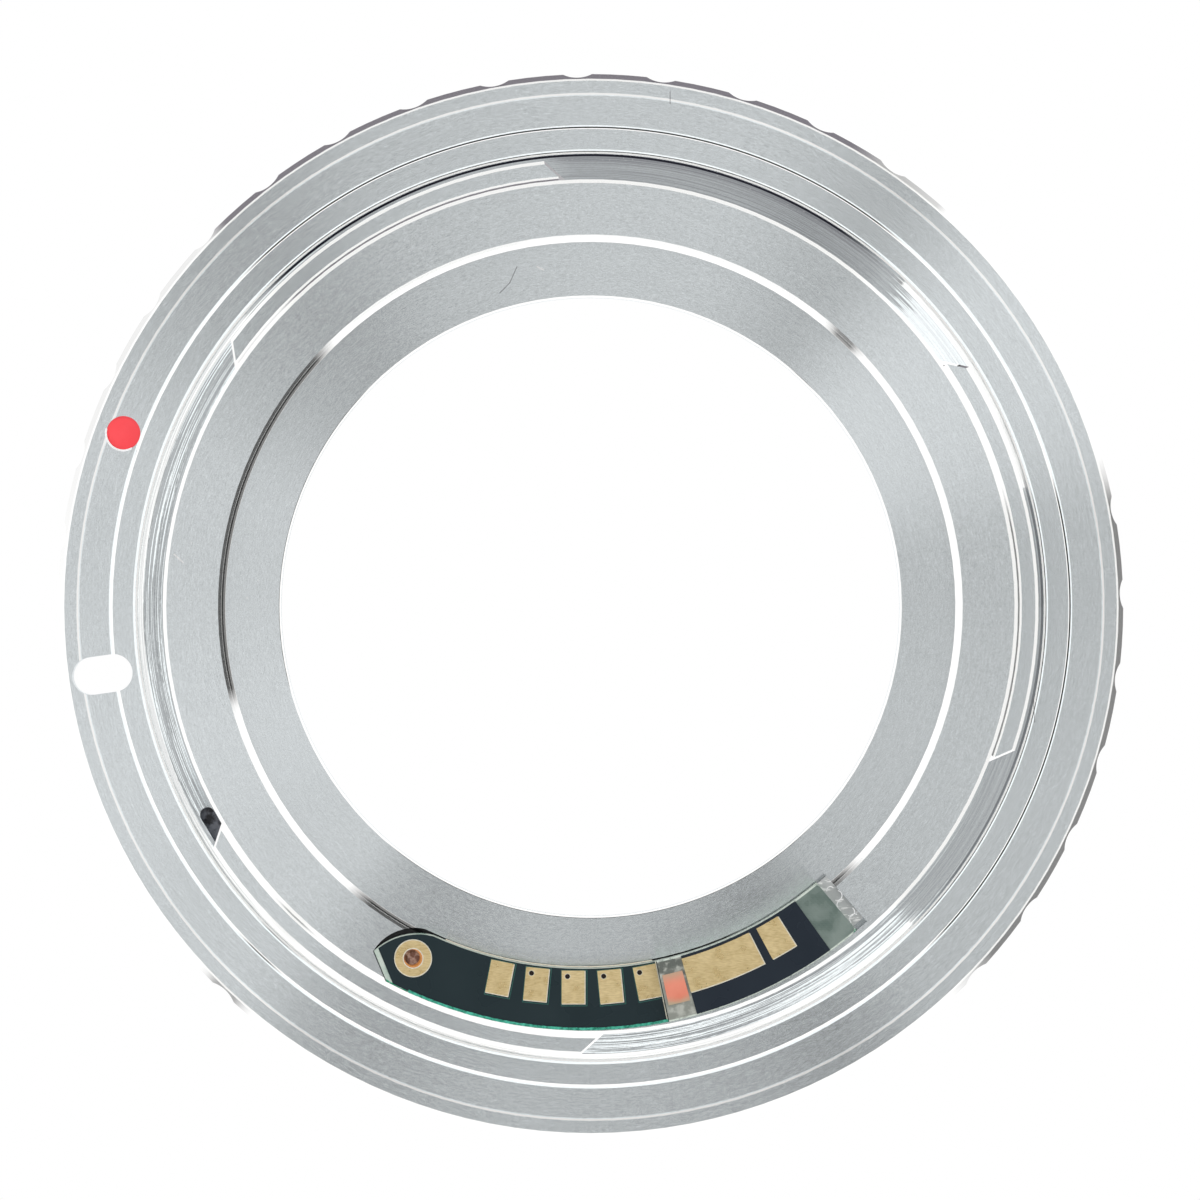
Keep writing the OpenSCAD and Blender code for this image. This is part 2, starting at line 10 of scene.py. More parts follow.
import bpy
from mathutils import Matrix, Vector


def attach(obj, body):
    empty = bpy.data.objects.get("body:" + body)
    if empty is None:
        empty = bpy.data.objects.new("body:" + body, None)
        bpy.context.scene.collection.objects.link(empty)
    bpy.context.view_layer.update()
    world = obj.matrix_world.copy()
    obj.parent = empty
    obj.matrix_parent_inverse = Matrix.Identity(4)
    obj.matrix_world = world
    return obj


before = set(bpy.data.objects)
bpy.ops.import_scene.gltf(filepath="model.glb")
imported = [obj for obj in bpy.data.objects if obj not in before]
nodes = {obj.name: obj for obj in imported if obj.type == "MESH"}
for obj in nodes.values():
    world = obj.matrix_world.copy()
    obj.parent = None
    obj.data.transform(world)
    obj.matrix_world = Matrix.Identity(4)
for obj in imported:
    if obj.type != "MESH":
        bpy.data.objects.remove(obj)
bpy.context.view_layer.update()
print("solids:", len(nodes))

# %% [markdown]
# Everything below is in metres, but the ring was drawn in millimetres. One small value turns the
# drawing's numbers into metres, and one helper gives a point from its radius and angle, which is
# how everything on a turned part is placed.

# %% Millimetres, and points by radius and angle
MM, MICRON = 0.001, 0.000001
ring_centre = Vector((0, 0, 0))
board_centre = Vector((-0.42, 0, 0)) * MM


def at(radius, angle, height, centre=ring_centre):
    turn = math.radians(angle)
    return centre + Vector((radius * math.cos(turn), radius * math.sin(turn), height)) * MM


def start_clean():
    if bpy.context.object and bpy.context.object.mode != "OBJECT":
        bpy.ops.object.mode_set(mode="OBJECT")
    bpy.ops.object.select_all(action="DESELECT")


start_clean()
print("the board's centre is", tuple(round(v / MM, 2) for v in board_centre))

# %% [markdown]
# The camera hangs 400 mm over the flange and looks straight down. Its lens is long, because a
# long lens from far away keeps the circles concentric: the barrel's end is 5 mm nearer than the
# flange, and with a short lens it would look noticeably bigger.

# %% The camera
sensor, distance, seen_width, flange_height = 36, 400, 73.15, 1
camera_data = bpy.data.cameras.new("camera")
camera_data.sensor_width = sensor
camera_data.lens = sensor * distance / seen_width
camera_data.clip_start = 0.01
camera_data.clip_end = 20
camera = bpy.data.objects.new("camera", camera_data)
camera.location = Vector((0.579, 0.4145, distance + flange_height)) * MM
bpy.context.scene.collection.objects.link(camera)
bpy.context.scene.camera = camera
bpy.context.scene.view_settings.view_transform = "Standard"
print("lens", round(camera_data.lens, 1), "mm")

# %% [markdown]
# Materials are built from nodes. These short helpers place one node each and wire it, so that a
# material reads from top to bottom like a recipe. A number goes into a socket as its value, and a
# socket goes in as a link. Texture scales count per metre, so 1000 is one to a millimetre.


# %% Helpers that place one node each
def put(tree, socket, value):
    if isinstance(value, bpy.types.NodeSocket):
        tree.links.new(value, socket)
    else:
        socket.default_value = value


def calc(tree, operation, *values, clamp=False):
    node = tree.nodes.new("ShaderNodeMath")
    node.operation = operation
    node.use_clamp = clamp
    for socket, value in zip(node.inputs, values):
        put(tree, socket, value)
    return node.outputs[0]


def times(tree, product, *others):
    for value in others:
        product = calc(tree, "MULTIPLY", product, value)
    return product


def weighed(tree, *pairs):
    total = 0.0
    for value, weight in pairs:
        total = calc(tree, "ADD", total, times(tree, value, weight))
    return total


def inverse(tree, mask):
    return calc(tree, "SUBTRACT", 1.0, mask)


def split(tree, vector):
    node = tree.nodes.new("ShaderNodeSeparateXYZ")
    put(tree, node.inputs[0], vector)
    return node.outputs


def join(tree, *values):
    node = tree.nodes.new("ShaderNodeCombineXYZ")
    for socket, value in zip(node.inputs, values):
        put(tree, socket, value)
    return node.outputs[0]


def stretch(tree, value, low, high, to_low=0.0, to_high=1.0, smooth=True):
    node = tree.nodes.new("ShaderNodeMapRange")
    node.interpolation_type = "SMOOTHSTEP" if smooth else "LINEAR"
    names = ("Value", "From Min", "From Max", "To Min", "To Max")
    for name, item in zip(names, (value, low, high, to_low, to_high)):
        put(tree, node.inputs[name], item)
    return node.outputs["Result"]


def blend(tree, share, first, second, kind="RGBA"):
    node = tree.nodes.new("ShaderNodeMix")
    node.data_type = kind
    for name, item in (("Factor", share), ("A", first), ("B", second)):
        put(tree, node.inputs[name], item)
    return node.outputs["Result"]


def noise(tree, place, scale, detail=2.0, roughness=0.5):
    node = tree.nodes.new("ShaderNodeTexNoise")
    put(tree, node.inputs["Vector"], place)
    put(tree, node.inputs["Scale"], scale)
    node.inputs["Detail"].default_value = detail
    node.inputs["Roughness"].default_value = roughness
    return node.outputs["Fac"]


def bump(tree, height, microns, normal=None):
    node = tree.nodes.new("ShaderNodeBump")
    node.inputs["Distance"].default_value = microns * MICRON
    put(tree, node.inputs["Height"], height)
    if normal is not None:
        put(tree, node.inputs["Normal"], normal)
    return node.outputs["Normal"]


def mapped(tree, place, centre=ring_centre, turn=0, scale=(1.0, 1.0, 1.0)):
    node = tree.nodes.new("ShaderNodeMapping")
    put(tree, node.inputs["Vector"], place)
    node.inputs["Location"].default_value = -centre
    node.inputs["Rotation"].default_value = (0, 0, math.radians(turn))
    node.inputs["Scale"].default_value = scale
    return node.outputs[0]


print("node helpers ready")

# %% [markdown]
# An effect that several materials share is a node group with its own inputs. Two helpers make
# such a group and place it. Two more start a material, and give it what every dull finish here
# needs: a colour, a roughness that a mask varies between two values, and a fine relief.

# %% Helpers for groups and materials
FLOAT, VECTOR = "NodeSocketFloat", "NodeSocketVector"


def new_group(name, takes, gives):
    group = bpy.data.node_groups.new(name, "ShaderNodeTree")
    for label, kind, value in takes:
        socket = group.interface.new_socket(label, in_out="INPUT", socket_type=kind)
        if value is not None:
            socket.default_value = value
    for label, kind in gives:
        group.interface.new_socket(label, in_out="OUTPUT", socket_type=kind)
    start = group.nodes.new("NodeGroupInput").outputs
    end = group.nodes.new("NodeGroupOutput").inputs
    return group, start, end


def use_group(tree, group, **values):
    node = tree.nodes.new("ShaderNodeGroup")
    node.node_tree = group
    for label, value in values.items():
        put(tree, node.inputs[label.replace("_", " ")], value)
    return node.outputs


def new_material(name):
    material = bpy.data.materials.new(name)
    material.use_nodes = True
    tree = material.node_tree
    shader = tree.nodes["Principled BSDF"]
    place = tree.nodes.new("ShaderNodeTexCoord").outputs["Object"]
    return material, tree, shader, place


def give_finish(tree, shader, colour, mask, roughness, relief=None, microns=0, smooth=False):
    put(tree, shader.inputs["Base Color"], colour)
    put(tree, shader.inputs["Roughness"], stretch(tree, mask, 0.3, 0.7, *roughness, smooth))
    if relief is not None:
        put(tree, shader.inputs["Normal"], bump(tree, relief, microns))


print("material helpers ready")

# %% [markdown]
# Light and wear on a ring change with the direction from its axis. This helper turns that
# direction into a place on a colour ramp, so that a short table of angles and levels paints a
# value all round, as on a compass. It gives the height too, which the studio needs later.


# %% A value by the compass
def compass(tree, place, levels):
    x, y, z = split(tree, place)
    turn = calc(tree, "DIVIDE", calc(tree, "ARCTAN2", y, x), 2 * math.pi)
    turn = calc(tree, "FRACT", calc(tree, "ADD", turn, 1.0))
    ramp = tree.nodes.new("ShaderNodeValToRGB")
    tree.links.new(turn, ramp.inputs[0])
    stops = ramp.color_ramp.elements
    while len(stops) > 1:
        stops.remove(stops[0])
    for i, (angle, level, *tint) in enumerate(levels):
        stop = stops[0] if i == 0 else stops.new(angle / 360)
        stop.position = angle / 360
        red, green, blue = tint or (1.0, 1.0, 1.0)
        stop.color = (level * red, level * green, level * blue, 1)
    return ramp.outputs["Color"], z


print("compass ready")

# %% [markdown]
# A cutting tool leaves its marks in circles round the axis. To draw such marks, a texture must be
# told how far a point lies from the axis and in which direction. This group works both out from
# the Object coordinates. The direction goes out as two numbers on a circle and not as an angle,
# because an angle jumps from 180 to -180 degrees and would leave a seam.

# %% Group: a point's place on the ring
ring_place, start, end = new_group(
    "Ring place",
    [("Position", VECTOR, None)],
    [("Radius", FLOAT), ("Height", FLOAT), ("Around X", FLOAT), ("Around Y", FLOAT)],
)
x, y, z = split(ring_place, start["Position"])
metres = calc(ring_place, "SQRT", weighed(ring_place, (x, x), (y, y)))
put(ring_place, end["Radius"], times(ring_place, metres, 1000.0))
put(ring_place, end["Height"], times(ring_place, z, 1000.0))
put(ring_place, end["Around X"], calc(ring_place, "DIVIDE", x, metres))
put(ring_place, end["Around Y"], calc(ring_place, "DIVIDE", y, metres))


def towards(tree, where, angle):
    turn = math.radians(angle)
    return weighed(tree, (where["Around X"], math.cos(turn)), (where["Around Y"], math.sin(turn)))


print("group", ring_place.name)

# %% [markdown]
# Turned grain is noise that is squeezed across the radius and stretched along the circle, so it
# comes out as short arcs. Ring Scale is the number of arcs in a millimetre of radius, and Arc
# Scale makes them shorter. The same group gives the fine lathe finish and the coarse mill tracks.

# %% Group: turned grain
turned_grain, start, end = new_group(
    "Turned grain",
    [
        ("Radius", FLOAT, 0.0),
        ("Around X", FLOAT, 0.0),
        ("Around Y", FLOAT, 0.0),
        ("Ring Scale", FLOAT, 8.0),
        ("Arc Scale", FLOAT, 30.0),
    ],
    [("Grain", FLOAT)],
)
across = times(turned_grain, start["Radius"], start["Ring Scale"])
along_x = times(turned_grain, start["Around X"], start["Arc Scale"])
along_y = times(turned_grain, start["Around Y"], start["Arc Scale"])
squeezed = join(turned_grain, across, along_x, along_y)
put(turned_grain, end["Grain"], noise(turned_grain, squeezed, 1.0, 2.0, 0.6))
print("group", turned_grain.name)

# %% [markdown]
# A band mask is white between two values and black outside them. It picks out one step of the
# ring, such as the groove round the barrel's foot, so that one material can treat it differently.

# %% Group: band mask
band_mask, start, end = new_group(
    "Band mask",
    [("Value", FLOAT, 0.0), ("From", FLOAT, 0.0), ("To", FLOAT, 1.0), ("Soft", FLOAT, 0.05)],
    [("Mask", FLOAT)],
)
flanks = []
for bound, levels in (("From", (0.0, 1.0)), ("To", (1.0, 0.0))):
    low = calc(band_mask, "SUBTRACT", start[bound], start["Soft"])
    high = calc(band_mask, "ADD", start[bound], start["Soft"])
    flanks.append(stretch(band_mask, start["Value"], low, high, *levels))
put(band_mask, end["Mask"], times(band_mask, *flanks))


def band(tree, value, low, high, soft=0.02):
    return use_group(tree, band_mask, Value=value, From=low, To=high, Soft=soft)["Mask"]


print("group", band_mask.name)

# %% [markdown]
# Bright metal is never spotless. Specks are the cores of Voronoi cells, and only the few cells
# whose random colour is low enough keep theirs, so they lie scattered and not on a grid.

# %% Group: specks
specks, start, end = new_group(
    "Specks",
    [("Position", VECTOR, None), ("Scale", FLOAT, 900.0), ("Size", FLOAT, 0.12), ("Share", FLOAT, 0.3)],
    [("Mask", FLOAT)],
)
cells = specks.nodes.new("ShaderNodeTexVoronoi")
put(specks, cells.inputs["Vector"], start["Position"])
put(specks, cells.inputs["Scale"], start["Scale"])
core = stretch(specks, cells.outputs["Distance"], 0.0, start["Size"], 1.0, 0.0)
draw = specks.nodes.new("ShaderNodeSeparateColor")
put(specks, draw.inputs[0], cells.outputs["Color"])
chosen = calc(specks, "LESS_THAN", draw.outputs[0], start["Share"])
put(specks, end["Mask"], times(specks, core, chosen))


def scatter(tree, place, scale, size, share):
    return use_group(tree, specks, Position=place, Scale=scale, Size=size, Share=share)["Mask"]


print("group", specks.name)

# %% [markdown]
# Hairline scratches come from handling. They are noise stretched a hundredfold one way, and only
# its highest ridges are kept, so short thin lines are left that lie across the lathe's circles.

# %% Group: hairlines
hairlines, start, end = new_group(
    "Hairlines",
    [("Position", VECTOR, None), ("Turn", VECTOR, (0.0, 0.0, 0.6)), ("Keep", FLOAT, 0.74)],
    [("Mask", FLOAT)],
)
laid = hairlines.nodes.new("ShaderNodeMapping")
put(hairlines, laid.inputs["Vector"], start["Position"])
put(hairlines, laid.inputs["Rotation"], start["Turn"])
laid.inputs["Scale"].default_value = (120.0, 9000.0, 120.0)
ridge = noise(hairlines, laid.outputs[0], 1.0, 1.0)
full = calc(hairlines, "ADD", start["Keep"], 0.03)
put(hairlines, end["Mask"], stretch(hairlines, ridge, start["Keep"], full))
print("group", hairlines.name)

# %% [markdown]
# A turned part has edges far too narrow to model: a hair of a slope where one step meets the next.
# On bright metal they matter, because each slope shows another part of the studio. This group
# tips the surface outward by one slope, and along the circle by another, without moving it.


# %% Group: tipped surface
def vectors(tree, operation, *values):
    node = tree.nodes.new("ShaderNodeVectorMath")
    node.operation = operation
    for socket, value in zip(node.inputs, values):
        put(tree, socket, value)
    return node.outputs["Value"] if operation in ("DOT_PRODUCT", "LENGTH") else node.outputs[0]


tipped, start, end = new_group(
    "Tipped surface",
    [("Around X", FLOAT, 0.0), ("Around Y", FLOAT, 0.0), ("Outward", FLOAT, 0.0), ("Along", FLOAT, 0.0)],
    [("Normal", VECTOR)],
)
out_x = times(tipped, start["Around X"], start["Outward"])
out_y = times(tipped, start["Around Y"], start["Outward"])
along_x = times(tipped, start["Around Y"], start["Along"])
along_y = times(tipped, start["Around X"], start["Along"])
lean_x = calc(tipped, "SUBTRACT", out_x, along_x)
lean_y = calc(tipped, "ADD", out_y, along_y)
put(tipped, end["Normal"], vectors(tipped, "NORMALIZE", join(tipped, lean_x, lean_y, 1.0)))
print("group", tipped.name)

# %% [markdown]
# A nick is a short straight scratch with a known place. Its mask measures how far a point lies
# from the line between the scratch's two ends.

# %% Group: nick
nick, start, end = new_group(
    "Nick",
    [("Position", VECTOR, None), ("From", VECTOR, None), ("To", VECTOR, None), ("Width", FLOAT, 0.00005)],
    [("Mask", FLOAT)],
)
flat_place = vectors(nick, "MULTIPLY", start["Position"], (1.0, 1.0, 0.0))
from_first = vectors(nick, "SUBTRACT", flat_place, start["From"])
line = vectors(nick, "SUBTRACT", start["To"], start["From"])
reached = vectors(nick, "DOT_PRODUCT", from_first, line)
whole = vectors(nick, "DOT_PRODUCT", line, line)
nearest = vectors(nick, "MULTIPLY", line, calc(nick, "DIVIDE", reached, whole, clamp=True))
away = vectors(nick, "LENGTH", vectors(nick, "SUBTRACT", from_first, nearest))
put(nick, end["Mask"], stretch(nick, away, 0.0, start["Width"], 1.0, 0.0))
print("group", nick.name)

# %% [markdown]
# The aluminium has three finishes and a painted shade. The flat faces carry a fine lathe grain that
# spreads light across the circles. The groove was milled, and its streaks are tipped along the circle,
# in some places most of them and in others few. The narrow slopes between the steps are cut clean and
# almost mirror. The floors of the seat and of the small pocket are painted dark, as the shade that
# falls in them. Radius, height and the slope of a face tell these apart, so the first cell makes the
# grains and these masks.

# %% Turned aluminium: its grains, and where each finish lies
aluminium, tree, shader, place = new_material("turned_aluminium")
where = use_group(tree, ring_place, Position=place)
radius, height = where["Radius"], where["Height"]
around = {"Around_X": where["Around X"], "Around_Y": where["Around Y"]}


def grain(rings, arcs):
    scales = {"Ring_Scale": rings, "Arc_Scale": arcs}
    return use_group(tree, turned_grain, Radius=radius, **around, **scales)["Grain"]


fine = grain(9.0, 60.0)
hair = grain(16.0, 9.0)
streaks = grain(15.0, 2.0)
chatter = grain(14.0, 50.0)
lathe = grain(80.0, 80.0)
speckle = noise(tree, place, 13000.0, 2.0, 0.7)

surface = tree.nodes.new("ShaderNodeNewGeometry").outputs
facing_up = split(tree, surface["True Normal"])["Z"]
upright = calc(tree, "ABSOLUTE", facing_up)
sloped = band(tree, upright, 0.3, 0.93)
shallow = band(tree, upright, 0.82, 0.93)
upward = stretch(tree, facing_up, 0.3, 0.5)

groove_radii, groove_heights, pocket_heights = (25.73, 27.59), (1.0, 1.2), (0.3, 0.95)
seat_radii, seat_heights = (21.3, 25.6), (5.65, 5.9)
in_groove = band(tree, radius, *groove_radii)
groove = times(tree, in_groove, band(tree, height, *groove_heights), upward)
pocket = times(tree, in_groove, band(tree, height, *pocket_heights, 0.05))
seat = times(tree, band(tree, height, *seat_heights, 0.03), band(tree, radius, *seat_radii, 0.03))
seat = times(tree, seat, stretch(tree, where["Around X"], 0.35, 0.45, 1.0, 0.0))
# Both floors are painted shade. They are not metal, and they are painted dark.
shaded_floors = calc(tree, "MAXIMUM", pocket, seat)
print("grains and masks ready")

# %% [markdown]
# The metal's tone varies a little with its grain. Bright specks and grey scratches lie on it, and
# five nicks and one painted glint have known places. The slopes are cleaner, so they have a tone of their
# own.

# %% Turned aluminium: tone, specks, scratches and nicks
shade = weighed(tree, (fine, 0.25), (hair, 0.2), (speckle, 0.55))
shade = stretch(tree, shade, 0.38, 0.62, smooth=False)
colour = blend(tree, shade, (0.735, 0.775, 0.79, 1), (0.85, 0.895, 0.915, 1))
marks = times(tree, scatter(tree, place, 1500.0, 0.14, 0.05), 0.6)
colour = blend(tree, marks, colour, (0.98, 0.98, 0.98, 1))
scratches = times(tree, use_group(tree, hairlines, Position=place, Keep=0.80)["Mask"], 0.2)
colour = blend(tree, scratches, colour, (0.5, 0.51, 0.52, 1))
colour = blend(tree, sloped, colour, (0.88, 0.88, 0.875, 1))

dark_nicks = [
    ((-4.42, 20.47), (-4.85, 19.50), 0.05),
    ((-4.85, 19.50), (-5.46, 18.89), 0.05),
    ((4.85, 31.38), (4.85, 30.65), 0.05),
    ((26.98, -5.68), (27.04, -7.02), 0.05),
]
# The first bright entry is a painted glint on the lip's face. The second is a bright nick.
glint_and_bright_nick = [((-3.20, 20.47), (-2.83, 20.29), 0.09), ((-25.02, 3.16), (-24.48, 2.67), 0.08)]
for table, tone, strength in ((dark_nicks, 0.2, 0.7), (glint_and_bright_nick, 1.0, 1.0)):
    for first, last, width in table:
        ends = {"From": Vector((*first, 0)) * MM, "To": Vector((*last, 0)) * MM}
        mark = use_group(tree, nick, Position=place, **ends, Width=width * MM)["Mask"]
        colour = blend(tree, times(tree, mark, strength), colour, (tone, tone, tone, 1))
print("nicks", len(dark_nicks) + len(glint_and_bright_nick))

# %% [markdown]
# Each narrow edge is a band of radius with the slope that it leans by, outward where it is
# positive and inward where it is negative. The bevelled end of one lug leans too.

# %% Turned aluminium: narrow edges
edges = [
    (29.10, 29.16, 0.60),
    (29.16, 29.25, 0.88),
    (29.25, 29.34, 0.60),
    (27.76, 27.86, 0.60),
    (27.60, 27.76, 0.88),
    (31.13, 31.30, 0.37),
    (21.97, 22.10, -0.83),
    (22.10, 22.20, -0.92),
    (18.60, 18.71, -0.60),
]
edge, slope = 0.0, 0.0
for low, high, lean in edges:
    here = times(tree, band(tree, radius, low, high, 0.01), upward)
    edge = calc(tree, "ADD", edge, here)
    slope = calc(tree, "ADD", slope, times(tree, here, lean))
lug_heights, tip_angle, tip_lean = (3.4, 4.7), 36.2, 0.55
at_tip = stretch(tree, towards(tree, where, tip_angle), 0.9985, 0.9992)
lug_tip = times(tree, sloped, band(tree, height, *lug_heights), at_tip)
edge = calc(tree, "MINIMUM", calc(tree, "ADD", edge, lug_tip), 1.0)
slope = calc(tree, "ADD", slope, times(tree, lug_tip, tip_lean))
print("edges", len(edges))

# %% [markdown]
# Roughness follows the same masks. The metal is fully anisotropic, which means that it smears a
# reflection across its grain, and the Tangent node says that the grain runs round the axis.

# %% Turned aluminium: gloss
rough = stretch(tree, fine, 0.3, 0.7, 0.19, 0.25, smooth=False)
for mask, gloss in ((groove, 0.14), (sloped, 0.09), (shallow, 0.16), (edge, 0.06)):
    rough = blend(tree, mask, rough, gloss, "FLOAT")
put(tree, shader.inputs["Roughness"], rough)
put(tree, shader.inputs["Metallic"], inverse(tree, shaded_floors))
shader.inputs["Anisotropic"].default_value = 1.0
shader.inputs["Anisotropic Rotation"].default_value = 0.25
grain_way = tree.nodes.new("ShaderNodeTangent")
grain_way.direction_type = "RADIAL"
grain_way.axis = "Z"
tree.links.new(grain_way.outputs[0], shader.inputs["Tangent"])
print("gloss ready")

# %% [markdown]
# The groove's cutter bit deep in some places and only rubbed in others, and one table says how deep
# all round. The same table paints light and shade into the groove's colour. Where it is low, the
# metal is painted dull and dark, with painted shade near the outer wall and a few painted glints
# left bright. Where it is high, the outer band is painted as a near-white highlight. A second table
# says where a painted shadow lies at the outer wall's foot. The seat and the pocket come last,
# painted dark as shade, because that covers everything.

# %% Turned aluminium: colours of the groove, the seat and the pocket
# One level all round: it leans the deep streaks, and it paints the groove's light and shade.
cut_and_shade_levels = [
    (0, 0.34), (14, 0.40), (18, 0.8), (40, 0.8), (50, 0.36), (60, 0.20), (92, 0.22), (98, 0.46),
    (134, 0.48), (140, 0.54), (222, 0.54), (230, 0.585), (314, 0.60), (318, 0.42), (360, 0.38),
]
shadow_levels = [
    (0, 0.5), (15, 0.5), (18, 0.0), (50, 0.0), (56, 1.0), (133, 1.0), (137, 0.0), (318, 0.0),
    (324, 0.5), (360, 0.5),
]
outer_cut_radii, shade_at_wall_radii, wall_foot_radii = (27.25, 27.62), (27.15, 27.75), (27.46, 27.7)
direction = join(tree, where["Around X"], where["Around Y"])
cut, _ = compass(tree, direction, cut_and_shade_levels)
shadow, _ = compass(tree, direction, shadow_levels)
outer_cut_and_highlight = times(tree, band(tree, radius, *outer_cut_radii), stretch(tree, cut, 0.46, 0.58))
# Painted shade: where the level is low, the groove is painted dull and dark.
dull_shade = times(tree, groove, stretch(tree, cut, 0.2, 0.44, 0.45, 0.0, smooth=False))
dull_shade = times(tree, dull_shade, stretch(tree, streaks, 0.35, 0.6, 1.2, 0.7))
colour = blend(tree, dull_shade, colour, (0.16, 0.17, 0.18, 1))
# Painted highlight: where the level is high, the outer band is painted near white.
colour = blend(tree, outer_cut_and_highlight, colour, (0.95, 0.95, 0.94, 1))
# Painted shade, darker near the outer wall.
shade_at_wall = times(tree, groove, stretch(tree, cut, 0.24, 0.4, 1.0, 0.0))
shade_at_wall = times(tree, shade_at_wall, band(tree, radius, *shade_at_wall_radii, 0.2))
shade_at_wall = times(tree, shade_at_wall, stretch(tree, streaks, 0.35, 0.6, 1.0, 0.55))
colour = blend(tree, times(tree, shade_at_wall, 0.7), colour, (0.26, 0.26, 0.29, 1))
tracks = times(tree, groove, stretch(tree, streaks, 0.42, 0.56, 0.26, 0.0))
colour = blend(tree, tracks, colour, (0.40, 0.41, 0.44, 1))
# Painted glints: bright specks within that painted shade.
painted_glints = times(tree, scatter(tree, place, 7000.0, 0.3, 0.22), shade_at_wall)
colour = blend(tree, painted_glints, colour, (1.0, 1.0, 0.98, 1))
# Painted shadow at the outer wall's foot, wherever the shadow table is high.
wall_foot_shadow = times(tree, shadow, times(tree, groove, band(tree, radius, *wall_foot_radii)))
colour = blend(tree, wall_foot_shadow, colour, (0.03, 0.03, 0.045, 1))
# Painted shade in the pocket, mottled, with a few grey specks of dust on it.
smeared = stretch(tree, noise(tree, place, 1600.0, 3.0), 0.36, 0.58)
pocket_shade = blend(tree, smeared, (0.012, 0.012, 0.018, 1), (0.28, 0.29, 0.33, 1))
grime = times(tree, scatter(tree, place, 4000.0, 0.25, 0.2), 0.5)
pocket_shade = blend(tree, grime, pocket_shade, (0.55, 0.55, 0.58, 1))
# Painted shade on the seat's floor, nearly black.
colour = blend(tree, seat, colour, (0.02, 0.02, 0.022, 1))
colour = blend(tree, pocket, colour, pocket_shade)
put(tree, shader.inputs["Base Color"], colour)
print("levels:", len(cut_and_shade_levels), "for the cut,", len(shadow_levels), "for the dark foot")

# %% [markdown]
# Last come the leans. The streaks that were cut deep lean along the circle, the edges by their
# slopes, and the plain faces by the finest lathe grain. Walls, undersides and chamfers keep the
# normal that they have, because their reflections are right already.

# %% Turned aluminium: leans and relief
deep = weighed(tree, (streaks, 0.85), (chatter, 0.15), (cut, 1.0))
deep = calc(tree, "MAXIMUM", stretch(tree, deep, 0.98, 1.16), outer_cut_and_highlight)
lean_along = times(tree, deep, 0.6, groove)
plain = inverse(tree, calc(tree, "MAXIMUM", groove, calc(tree, "MAXIMUM", edge, sloped)))
lathe_lean = times(tree, stretch(tree, lathe, 0.3, 0.7, -0.18, 0.36, smooth=False), plain)
lean_out = calc(tree, "ADD", slope, lathe_lean)
leaning = use_group(tree, tipped, **around, Outward=lean_out, Along=lean_along)["Normal"]
relief = times(tree, weighed(tree, (fine, 0.5), (speckle, 0.5)), inverse(tree, sloped))
turned = bump(tree, relief, 3, leaning)
chamfer = times(tree, sloped, inverse(tree, edge))
on_top = times(tree, upward, inverse(tree, chamfer))
normal = blend(tree, on_top, surface["Normal"], turned, "VECTOR")
put(tree, shader.inputs["Normal"], normal)
print("material", aluminium.name)

# %% [markdown]
# The index dot is enamel that was dropped into a drilled recess. It dried to a low dome with a
# faint skin, so its colour varies a little and a clear coat gives it a wet shine. A weak glow of
# its own colour keeps it as vivid as such enamel is under strong lamps.

# %% Material: red index enamel
index_enamel, tree, shader, place = new_material("red_index_enamel")
mottle = noise(tree, place, 900.0, 3.0)
colour = blend(tree, mottle, (0.96, 0.05, 0.065, 1), (1.0, 0.075, 0.09, 1))
give_finish(tree, shader, colour, mottle, (0.35, 0.5), noise(tree, place, 2500.0), 8)
put(tree, shader.inputs["Emission Color"], colour)
shader.inputs["Emission Strength"].default_value = 0.22
shader.inputs["Coat Weight"].default_value = 0.3
shader.inputs["Coat Roughness"].default_value = 0.2
print("material", index_enamel.name)

# %% [markdown]
# Solder mask is a dark lacquer over copper, teal on the lower board and navy on the raised one.
# It is smooth but not flat: it dips a little where there is no copper under it, and it collects
# dust.


# %% Materials: solder masks
def lacquer(name, dark, light):
    material, tree, shader, place = new_material(name)
    cloud = noise(tree, place, 350.0, 3.0)
    dust = times(tree, scatter(tree, place, 1500.0, 0.22, 0.035), 0.5)
    colour = blend(tree, dust, blend(tree, cloud, dark, light), (0.30, 0.34, 0.36, 1))
    give_finish(tree, shader, colour, cloud, (0.24, 0.36), noise(tree, place, 700.0), 4)
    shader.inputs["Specular IOR Level"].default_value = 0.2
    return material


solder_mask = lacquer("teal_solder_mask", (0.014, 0.026, 0.031, 1), (0.022, 0.038, 0.044, 1))
raised_solder_mask = lacquer("navy_solder_mask", (0.015, 0.022, 0.033, 1), (0.024, 0.034, 0.048, 1))
print("materials", solder_mask.name, raised_solder_mask.name)

# %% [markdown]
# The board itself is glass cloth in green resin. Where the lacquer stops, the cloth's weave shows
# through it as a faint check, and in the bare strip between the two levels the resin is greyer, with
# lighter patches painted in as sheen.
# Its sawn edges are pale, because cut glass fibres scatter light, and the lower board's outer edge
# is bright green where resin ran over it. These finishes are placed round the board's own centre,
# so the group that measures them comes after a Mapping node that moves that centre to zero.

# %% Materials: glass cloth laminates
strip_angle, strip_dark, strip_light = 283.4, (0.12, 0.13, 0.115, 1), (0.29, 0.30, 0.265, 1)
sawn_edge, wet_edge = (0.70, 0.78, 0.70, 1), (0.02, 0.36, 0.19, 1)


